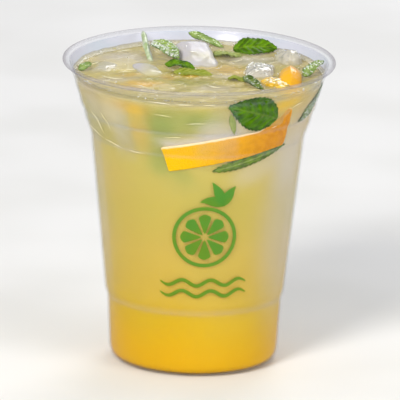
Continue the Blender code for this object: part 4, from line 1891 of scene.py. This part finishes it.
@dataclass
class SunkIce:
    """Lumps of ice just under the surface and behind the wall.

    Each is given by its centre, its size and its turn in degrees.
    """

    lumps: tuple[tuple[Place, Place, float], ...] = (
        ((-31.0, -9.0, 101.0), (13.0, 8.0, 7.4), 25.0),
        ((-27.0, 19.0, 101.2), (15.0, 13.0, 7.4), -15.0),
        ((-13.0, -26.0, 100.6), (13.0, 9.0, 8.0), 8.0),
        ((6.0, -22.0, 100.5), (15.0, 9.0, 8.6), -12.0),
        ((10.0, 2.0, 101.2), (12.0, 9.0, 7.4), 30.0),
        ((19.0, 22.0, 101.9), (16.0, 11.0, 6.8), -8.0),
        ((-9.0, -12.0, 100.8), (10.0, 8.0, 8.2), 40.0),
        ((-38.0, -16.0, 94.0), (9.0, 7.0, 12.0), 62.0),
        ((-29.0, -30.0, 92.0), (11.0, 7.0, 12.0), 40.0),
        ((33.0, -24.0, 92.0), (10.0, 7.0, 13.0), -52.0),
        ((27.0, 33.0, 92.0), (16.0, 7.0, 15.0), 38.0),
        ((-24.0, 35.0, 88.0), (17.0, 7.0, 14.0), -34.0),
    )
    round_share: float = 0.6
    inset: float = 1.3
    top: float = 104.1
    finish: Finish = MilkyIce(
        "ice_sunk", roughness=0.4, cool=display(206, 200, 178), warm=display(206, 196, 140)
    )

    def build(self) -> list[Object]:
        """Makes the lumps.

        Returns:
            The lumps as one piece.
        """
        points: list[np.ndarray] = []
        faces: Faces = []
        for number, (centre, size, turn) in enumerate(self.lumps):
            bm = bmesh.new()
            bmesh.ops.create_cube(bm, size=2.0)
            bmesh.ops.subdivide_edges(bm, edges=bm.edges[:], cuts=9, use_grid_fill=True)
            cube = np.array([vert.co for vert in bm.verts])
            start = sum(len(part) for part in points)
            faces += [[start + vert.index for vert in face.verts] for face in bm.faces]
            bm.free()
            ball = cube / np.linalg.norm(cube, axis=1)[:, None] * 1.25
            lump = (cube * (1 - self.round_share) + ball * self.round_share) * np.array(size) / 2
            lump *= 1 + 0.1 * noise_at(lump, 0.25, number)[:, None]
            tilt = Matrix.Rotation(0.15 * (number % 3 - 1), 3, "X")
            spin = Matrix.Rotation(math.radians(turn), 3, "Z") @ tilt
            placed = lump @ np.array(spin).T + np.array(centre)
            radius = np.hypot(placed[:, 0], placed[:, 1])
            wall = np.array([SHEET.radius_at(height, self.inset) for height in placed[:, 2]])
            placed[:, :2] *= np.minimum(1.0, wall / radius)[:, None]
            placed[:, 2] = np.minimum(placed[:, 2], self.top + 0.3 * noise_at(placed, 0.3, number))
            points.append(placed)
        return [make_piece("sunk_ice", np.concatenate(points), faces, self.finish.build())]


@dataclass
class SunkLemon:
    """Slices of lemon that lie flat under the surface.

    Each is given by its centre, its radius and its lean about Y in degrees.
    """

    slices: tuple[tuple[Place, float, float], ...] = (
        ((-25.5, 13.0, 103.9), 10.5, 1.5),
        ((-16.0, -20.0, 103.7), 8.5, -1.5),
    )
    rings: int = 12
    steps: int = 60
    finish: Finish = OrangeSkin(
        "lemon_sunk",
        roughness=0.3,
        coat=0.4,
        rind_left=display(226, 196, 40),
        rind_right=display(226, 186, 50),
        pith=display(226, 216, 180),
        flesh=display(214, 200, 140),
        skin=display(228, 220, 184),
    )

    def build(self) -> list[Object]:
        """Makes the slices.

        Returns:
            The slices as one piece.
        """
        points = []
        masks: dict[str, list[float]] = {"rind": [], "pith": [], "membrane": [], "across": []}
        faces: Faces = []
        for centre, radius, lean in self.slices:
            turn = Matrix.Rotation(math.radians(lean), 3, "Y")
            start = len(points)
            for side in (1, -1):
                for ring in range(self.rings + 1):
                    reach = ring / self.rings
                    for step in range(self.steps):
                        angle = 2 * math.pi * step / self.steps
                        bulge = math.sqrt(max(0.0, 1 - reach**8))
                        lift = side * 1.1 * bulge + 0.1 * math.cos(8 * angle) * reach
                        away = radius * reach
                        flat = Vector((away * math.cos(angle), away * math.sin(angle), lift))
                        points.append(Vector(centre) + turn @ flat)
                        spoke = abs(math.sin(4 * angle))
                        masks["rind"].append(float(smooth_step(reach, 0.9, 0.94)))
                        masks["pith"].append(float(smooth_step(reach, 0.8, 0.86)))
                        masks["membrane"].append(float(smooth_step(spoke, 0.3, 0.1)))
                        masks["across"].append(reach)
            half = (self.rings + 1) * self.steps
            faces += grid_faces(self.rings + 1, self.steps, round_about=True, start=start)
            lower = grid_faces(self.rings + 1, self.steps, round_about=True, start=start + half)
            faces += [face[::-1] for face in lower]
            edge = start + self.rings * self.steps
            for step in range(self.steps):
                after = (step + 1) % self.steps
                faces.append([edge + step, edge + after, edge + half + after, edge + half + step])
        values = {name: np.array(mask) for name, mask in masks.items()}
        return [make_piece("sunk_lemon", points, faces, self.finish.build(), values=values)]


@dataclass
class Pulp:
    """The wet flesh of the top slice, spread in plump sacs beside it at the surface."""

    centre: Place = (27.6, -11.5, 104.9)
    reach: Point = (3.6, 6.0)
    sacs: int = 40
    finish: Finish = Tinted(
        "orange_pulp",
        roughness=0.12,
        coat=1.0,
        scatter=0.3,
        first=display(232, 176, 0),
        second=display(242, 200, 50),
        scale=300.0,
        depth=0.00015,
    )

    def build(self) -> list[Object]:
        """Makes the sacs.

        Returns:
            The sacs as one piece.
        """
        draw = random.Random(33)
        beads = Beads(2)
        for _ in range(self.sacs):
            angle = draw.uniform(0, 2 * math.pi)
            away = math.sqrt(draw.random())
            back = self.reach[1] * away * math.sin(angle)
            x = self.centre[0] + self.reach[0] * away * math.cos(angle) - 0.25 * back
            y = self.centre[1] + back
            beads.add((x, y, self.centre[2] + 0.7 * (1 - away)), draw.uniform(1.2, 2.2), 0.5)
        return [beads.make("orange_pulp", self.finish.build(), "orange_slice")]


@dataclass
class Glints:
    """Painted highlights: thin near-white curls that stand on the wet pieces as glints of light."""

    curls: int = 44
    lowest: float = 105.7
    thickness: float = 0.16
    # The near-white curls are painted glints.
    finish: Finish = Tinted("wet_film", roughness=0.08, coat=1.0, second=display(250, 248, 236))

    def build(self) -> list[Object]:
        """Makes the curls.

        Returns:
            The curls as one piece.
        """
        draw = random.Random(12)
        threads = Threads()
        for name, count in (("ice_right_block", 0.8), ("ice_back_center_block", 0.1), ("orange_pulp", 0.3)):
            mesh = bpy.data.objects[name].data
            places = points_of(mesh)
            normals = normals_of(mesh)
            shown = np.flatnonzero((places[:, 2] > self.lowest) & (normals[:, 1] < 0.4)).tolist()
            for _ in range(round(self.curls * count) if shown else 0):
                index = draw.choice(shown)
                normal = Vector(normals[index])
                threads.add(self.curl(Vector(places[index]), normal, draw), normal, self.thickness)
        return [threads.make("wet_film", self.finish.build(), "ice")]

    @staticmethod
    def curl(place: Vector, normal: Vector, draw: random.Random) -> list[Vector]:
        """The bent middle line of a curl.

        Args:
            place: where it stands.
            normal: the direction that the surface faces there.
            draw: the source of its random form.

        Returns:
            The line's points.
        """
        side = normal.orthogonal().normalized()
        side.rotate(Matrix.Rotation(draw.uniform(0, 6.28), 3, normal))
        other = normal.cross(side)
        bend = draw.uniform(0.5, 1.6)
        start = draw.uniform(0, 6.28)
        sweep = draw.uniform(0.8, 2.4)
        path = []
        for turn in [start + sweep * step / 8 for step in range(9)]:
            around = side * math.cos(turn) + other * math.sin(turn)
            path.append(place + normal * 0.12 + around * bend)
        return path


@dataclass
class Wisps:
    """Bright thin lines where the drink's level, the shoulder and the sunk ice catch the light.

    A line on the wall runs between two places of (angle, height), one at the top between two of (x, y). Each
    has its half thickness and how far its middle bows to the side.
    """

    walled: tuple[tuple[Point, Point, float, float], ...] = (
        ((-24.0, 105.0), (-13.0, 104.8), 0.14, 0.15),
        ((-10.0, 104.9), (-2.0, 105.1), 0.2, -0.1),
        ((2.0, 105.0), (8.0, 104.8), 0.14, 0.1),
        ((-76.0, 88.0), (-60.0, 85.8), 0.14, 0.3),
        ((-58.0, 85.6), (-45.0, 84.2), 0.2, 0.3),
        ((-40.0, 84.2), (-30.0, 83.8), 0.13, -0.2),
        ((-65.0, 95.0), (-57.0, 88.2), 0.16, 0.9),
        ((-55.0, 96.5), (-50.0, 90.5), 0.13, 0.7),
        ((-21.0, 100.2), (-12.0, 99.7), 0.1, 0.2),
        ((-6.0, 97.2), (4.0, 97.6), 0.1, 0.2),
        ((-17.0, 91.2), (-8.0, 91.8), 0.1, 0.2),
        ((37.0, 93.8), (42.0, 94.4), 0.14, 0.0),
        ((50.0, 100.4), (58.0, 101.4), 0.13, 0.3),
        ((67.0, 92.6), (74.0, 94.0), 0.12, 0.3),
        ((150.0, 88.0), (168.0, 86.0), 0.14, 0.4),
        ((188.0, 96.0), (202.0, 97.0), 0.14, -0.4),
        ((120.0, 92.0), (131.0, 90.0), 0.14, 0.4),
        ((228.0, 90.0), (240.0, 92.0), 0.14, 0.4),
    )
    afloat: tuple[tuple[Point, Point, float, float], ...] = (
        ((-35.0, -7.0), (-27.0, -11.0), 0.2, 1.6),
        ((-29.0, -3.0), (-24.0, -1.0), 0.14, -1.0),
        ((-24.0, -20.0), (-18.0, -25.0), 0.16, -1.2),
        ((-40.0, 8.0), (-36.0, 13.0), 0.2, 0.8),
        ((-10.0, -19.0), (-5.0, -15.0), 0.13, 1.2),
        ((3.0, -17.0), (8.0, -21.0), 0.16, 1.2),
        ((11.0, 17.0), (16.0, 22.0), 0.16, 1.4),
        ((25.0, 14.0), (30.0, 18.0), 0.14, -1.2),
        ((16.0, -30.0), (22.0, -26.0), 0.14, 1.0),
        ((-22.0, 31.0), (-30.0, 27.0), 0.22, 0.9),
    )
    steps: int = 14
    inset: float = -0.22
    level: float = 105.45
    # These pale cream lines are painted highlights.
    finish: Finish = Tinted(
        "wisps",
        roughness=0.1,
        coat=1.0,
        first=display(232, 226, 196),
        second=display(218, 208, 160),
    )

    def build(self) -> list[Object]:
        """Makes the lines.

        Returns:
            The lines as one piece.
        """
        threads = Threads()
        shares = [step / self.steps for step in range(self.steps + 1)]
        for start, end, thickness, bow in self.walled:
            path = []
            for share in shares:
                angle = start[0] + (end[0] - start[0]) * share
                height = start[1] + (end[1] - start[1]) * share + bow * math.sin(math.pi * share)
                path.append(SHEET.wall_point(angle, height, self.inset))
            middle = path[len(path) // 2]
            threads.add(path, Vector((middle.x, middle.y, 0)).normalized(), thickness)
        for start, end, thickness, bow in self.afloat:
            first, last = Vector((*start, self.level)), Vector((*end, self.level))
            side = (last - first).cross(Vector((0, 0, 1))).normalized() * bow
            path = [first.lerp(last, share) + side * math.sin(math.pi * share) for share in shares]
            threads.add(path, Vector((0, 0, 1)), thickness)
        return [threads.make("wisps", self.finish.build(), "cloudy_drink")]


# The print


@dataclass
class Print:
    """A plain green print on the front of the cup: a citrus wheel, three leaves and two waves."""

    centre: Point = (3.2, 54.0)
    wheel: float = 10.8
    line: float = 1.3
    wave_heights: tuple[float, ...] = (36.5, 32.4)
    wave_reach: float = 15.5
    lift: float = 0.1
    finish: Finish = Tinted(
        "green_ink",
        roughness=0.5,
        gloss=0.2,
        first=display(96, 126, 0),
        second=display(66, 130, 40),
        scale=160.0,
        rise=0.085,
        cover=0.9,
    )

    def on_wall(self, place: float, height: float) -> Vector:
        """The point of the outer wall at a distance round it and a height."""
        radius = SHEET.radius_at(height)
        return SHEET.wall_point(math.degrees(place / radius), height, -SHEET.thickness - self.lift)

    def stroke(self, line: Sequence[Point], width: Callable[[float], float]) -> tuple[list, Faces]:
        """A stroke along a line.

        Args:
            line: the stroke's middle line.
            width: its width at a share of the way along it.

        Returns:
            Its points and its faces.
        """
        points = []
        for index, (x, y) in enumerate(line):
            before = line[max(index - 1, 0)]
            after = line[min(index + 1, len(line) - 1)]
            across = Vector((before[1] - after[1], after[0] - before[0])).normalized()
            half = width(index / (len(line) - 1)) / 2
            for side in (-1, 0, 1):
                points.append(self.on_wall(x + across.x * half * side, y + across.y * half * side))
        return points, grid_faces(len(line), 3)

    def strokes(self) -> list[tuple[list[Point], Callable[[float], float]]]:
        """The lines of the print.

        Returns:
            Each line, and its width at a share of the way along it.
        """
        x, y = self.centre

        def even(share: float) -> float:
            """The width of a line with narrow ends."""
            return self.line * min(1.0, 0.35 + 6 * min(share, 1 - share))

        def full(share: float) -> float:
            """The width of a closed line."""
            return self.line

        def segment(share: float) -> float:
            """The width of a drop, pointed at the wheel's middle."""
            return 0.5 + 5.0 * share * min(1.0, 5 * (1 - share)) ** 0.6

        def blade(share: float) -> float:
            """The width of a leaf."""
            return 0.25 + 3.4 * math.sin(math.pi * share**0.8) ** 1.1

        ring = [(x + self.wheel * math.sin(turn), y + self.wheel * math.cos(turn)) for turn in self.turns(72)]
        lines: list[tuple[list[Point], Callable[[float], float]]] = [(ring, full)]
        for turn in self.turns(8)[:-1]:
            reaches = np.linspace(1.4, 8.6, 13)
            spoke = [(x + reach * math.sin(turn), y + reach * math.cos(turn)) for reach in reaches]
            lines.append((spoke, segment))
        for lean, reach in ((-1.15, 8.5), (-0.35, 10.0), (0.45, 8.5)):
            stalk = []
            for share in np.linspace(0, 1, 16):
                turn = lean * (0.7 + 0.5 * share)
                away = reach * share
                stalk.append((x + 6.5 + away * math.sin(turn), y + 11.6 + away * math.cos(turn)))
            lines.append((stalk, blade))
        for height in self.wave_heights:
            places = np.linspace(-self.wave_reach, self.wave_reach, 60)
            lines.append(([(x + place, height + 1.1 * math.sin(place * 0.62)) for place in places], even))
        return lines

    @staticmethod
    def turns(count: int) -> list[float]:
        """Angles right round a circle, the first one again at the end."""
        return [2 * math.pi * step / count for step in range(count + 1)]

    def build(self) -> list[Object]:
        """Makes the print.

        Returns:
            The print as one thin piece.
        """
        points: list[Vector] = []
        faces: Faces = []
        for line, width in self.strokes():
            more, corners = self.stroke(line, width)
            faces += [[len(points) + index for index in face] for face in corners]
            points += more
        return [make_piece("green_print", points, faces, self.finish.build())]


# Bubbles


@dataclass
class Bubbles:
    """Small bubbles along the edge of the drink and here and there on it."""

    edge: int = 90
    surface: int = 60
    spread: float = 42.0
    level: float = DRINK_LEVEL
    finish: Finish = Tinted(
        "bubbles", roughness=0.06, coat=1.0, transmission=0.5, index=1.2, second=display(225, 220, 180)
    )

    def build(self) -> list[Object]:
        """Makes the bubbles.

        Returns:
            The bubbles as one piece.
        """
        draw = random.Random(5)
        beads = Beads(2)
        for _ in range(self.edge):
            angle = draw.uniform(0, 2 * math.pi)
            size = draw.uniform(0.18, 0.5)
            radius = SHEET.radius_at(self.level) - size - draw.uniform(0, 1.2)
            beads.add((radius * math.sin(angle), -radius * math.cos(angle), self.level + 0.5), size, 0.7)
        for _ in range(self.surface):
            angle = draw.uniform(0, 2 * math.pi)
            radius = self.spread * math.sqrt(draw.random())
            size = draw.uniform(0.15, 0.4)
            beads.add((radius * math.sin(angle), -radius * math.cos(angle), self.level + 0.2), size, 0.7)
        return [beads.make("surface_bubbles", self.finish.build(), "cloudy_drink")]


# The studio


@dataclass
class Studio:
    """A pale floor, soft light and the camera."""

    scale: float = 2.78
    roll: float = 1.2
    distance: float = 3.5
    elevation: float = 15.2
    aim: float = 0.055
    image: int = 400
    axis_foot: Point = (193.0, 355.9)
    sensor: float = 36.0

    def camera(self) -> None:
        """Sets the camera at the photograph's viewing angle."""
        lift = math.radians(self.elevation)
        roll = math.radians(self.roll)
        back = Vector((0, -math.cos(lift), math.sin(lift)))
        side = Vector((1, 0, 0))
        turn = Matrix((side, back.cross(side), back)).transposed() @ Matrix.Rotation(roll, 3, "Z")
        data = bpy.data.cameras.new("camera")
        data.sensor_width = self.sensor
        data.lens = self.scale / MM * self.distance * self.sensor / self.image
        drop = self.scale * math.cos(lift) * self.aim / MM
        middle = self.image / 2
        data.shift_x = -(self.axis_foot[0] + drop * math.tan(roll) - middle) / self.image
        data.shift_y = (self.axis_foot[1] - drop - middle) / self.image
        data.clip_end = 100.0
        camera = bpy.data.objects.new("camera", data)
        eye = Vector((0, 0, self.aim)) + back * self.distance
        camera.matrix_world = Matrix.Translation(eye) @ turn.to_4x4()
        bpy.context.scene.collection.objects.link(camera)
        bpy.context.scene.camera = camera

    @staticmethod
    def light(name: str, place: Place, aim: Place, size: float, power: float, colour: Rgba) -> None:
        """Adds an area light.

        Args:
            name: its name.
            place: where it stands, in metres.
            aim: where it shines, in metres.
            size: how wide it is, in metres.
            power: its power in watts.
            colour: its colour.
        """
        data = bpy.data.lights.new(name, "AREA")
        data.shape = "DISK"
        data.size = size
        data.energy = power
        data.color = colour[:3]
        obj = bpy.data.objects.new(name, data)
        obj.location = place
        obj.rotation_euler = (Vector(aim) - Vector(place)).to_track_quat("-Z", "Y").to_euler()
        bpy.context.scene.collection.objects.link(obj)

    def build(self) -> None:
        """The floor, the light and the camera."""
        floor_finish = Tinted(
            "pale_floor",
            roughness=0.7,
            first=display(236, 235, 232),
            second=display(229, 228, 224),
            scale=12.0,
            depth=0.00002,
        )
        mesh = bpy.data.meshes.new("floor")
        mesh.from_pydata([(-3, -3, 0), (3, -3, 0), (3, 3, 0), (-3, 3, 0)], [], [(0, 1, 2, 3)])
        mesh.materials.append(floor_finish.build())
        floor = bpy.data.objects.new("floor", mesh)
        bpy.context.scene.collection.objects.link(floor)
        world = bpy.data.worlds.new("studio")
        world.use_nodes = True
        background = world.node_tree.nodes["Background"]
        background.inputs["Color"].default_value = (0.94, 0.96, 1.0, 1.0)
        background.inputs["Strength"].default_value = 0.52
        bpy.context.scene.world = world
        self.light("key", (-0.5, -0.92, 0.82), (0, 0, 0.06), 0.4, 13.0, (1.0, 0.98, 0.95, 1))
        self.light("fill", (0.95, -0.8, 0.42), (0, 0, 0.06), 0.8, 7.0, (0.97, 0.97, 1.0, 1))
        self.light("back", (0.25, 0.9, 0.75), (0, 0, 0.08), 0.6, 3.5, (0.96, 0.96, 1.0, 1))
        self.camera()
        bpy.context.scene.view_settings.view_transform = "Standard"
        bpy.context.scene.cycles.transparent_max_bounces = 24


def corners(box: Sequence[Sequence[float]]) -> list[list[float]]:
    """A box's lowest and highest corners as plain lists."""
    return [list(corner) for corner in box]


def main() -> None:
    """Builds the studio and every piece of the cup in order."""
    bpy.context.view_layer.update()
    Studio().build()
    mint = Mint()
    builders = (
        Cup(),
        Drink(),
        Ice(),
        FrontSlice(),
        TopSlice(),
        mint,
        SunkPieces(),
        SunkIce(),
        SunkLemon(),
        Pulp(),
        Glints(),
        Wisps(),
        Print(),
        Bubbles(),
    )
    for builder in builders:
        made = builder.build()
        LOG.info("%s: %d pieces", type(builder).__name__, len(made))
    # On these leaves the white grains stand partly for frost and partly for painted glints.
    frosted = ((mint.loose[0], 150), (mint.loose[4], 40), (mint.loose[6], 26), (mint.walled[2], 90))
    made = FrostAndGlints().build(frosted)
    LOG.info("Frost: %d pieces", len(made))


if __name__ == "__main__":
    logging.basicConfig(level=logging.INFO, format="%(name)s %(message)s")
    main()
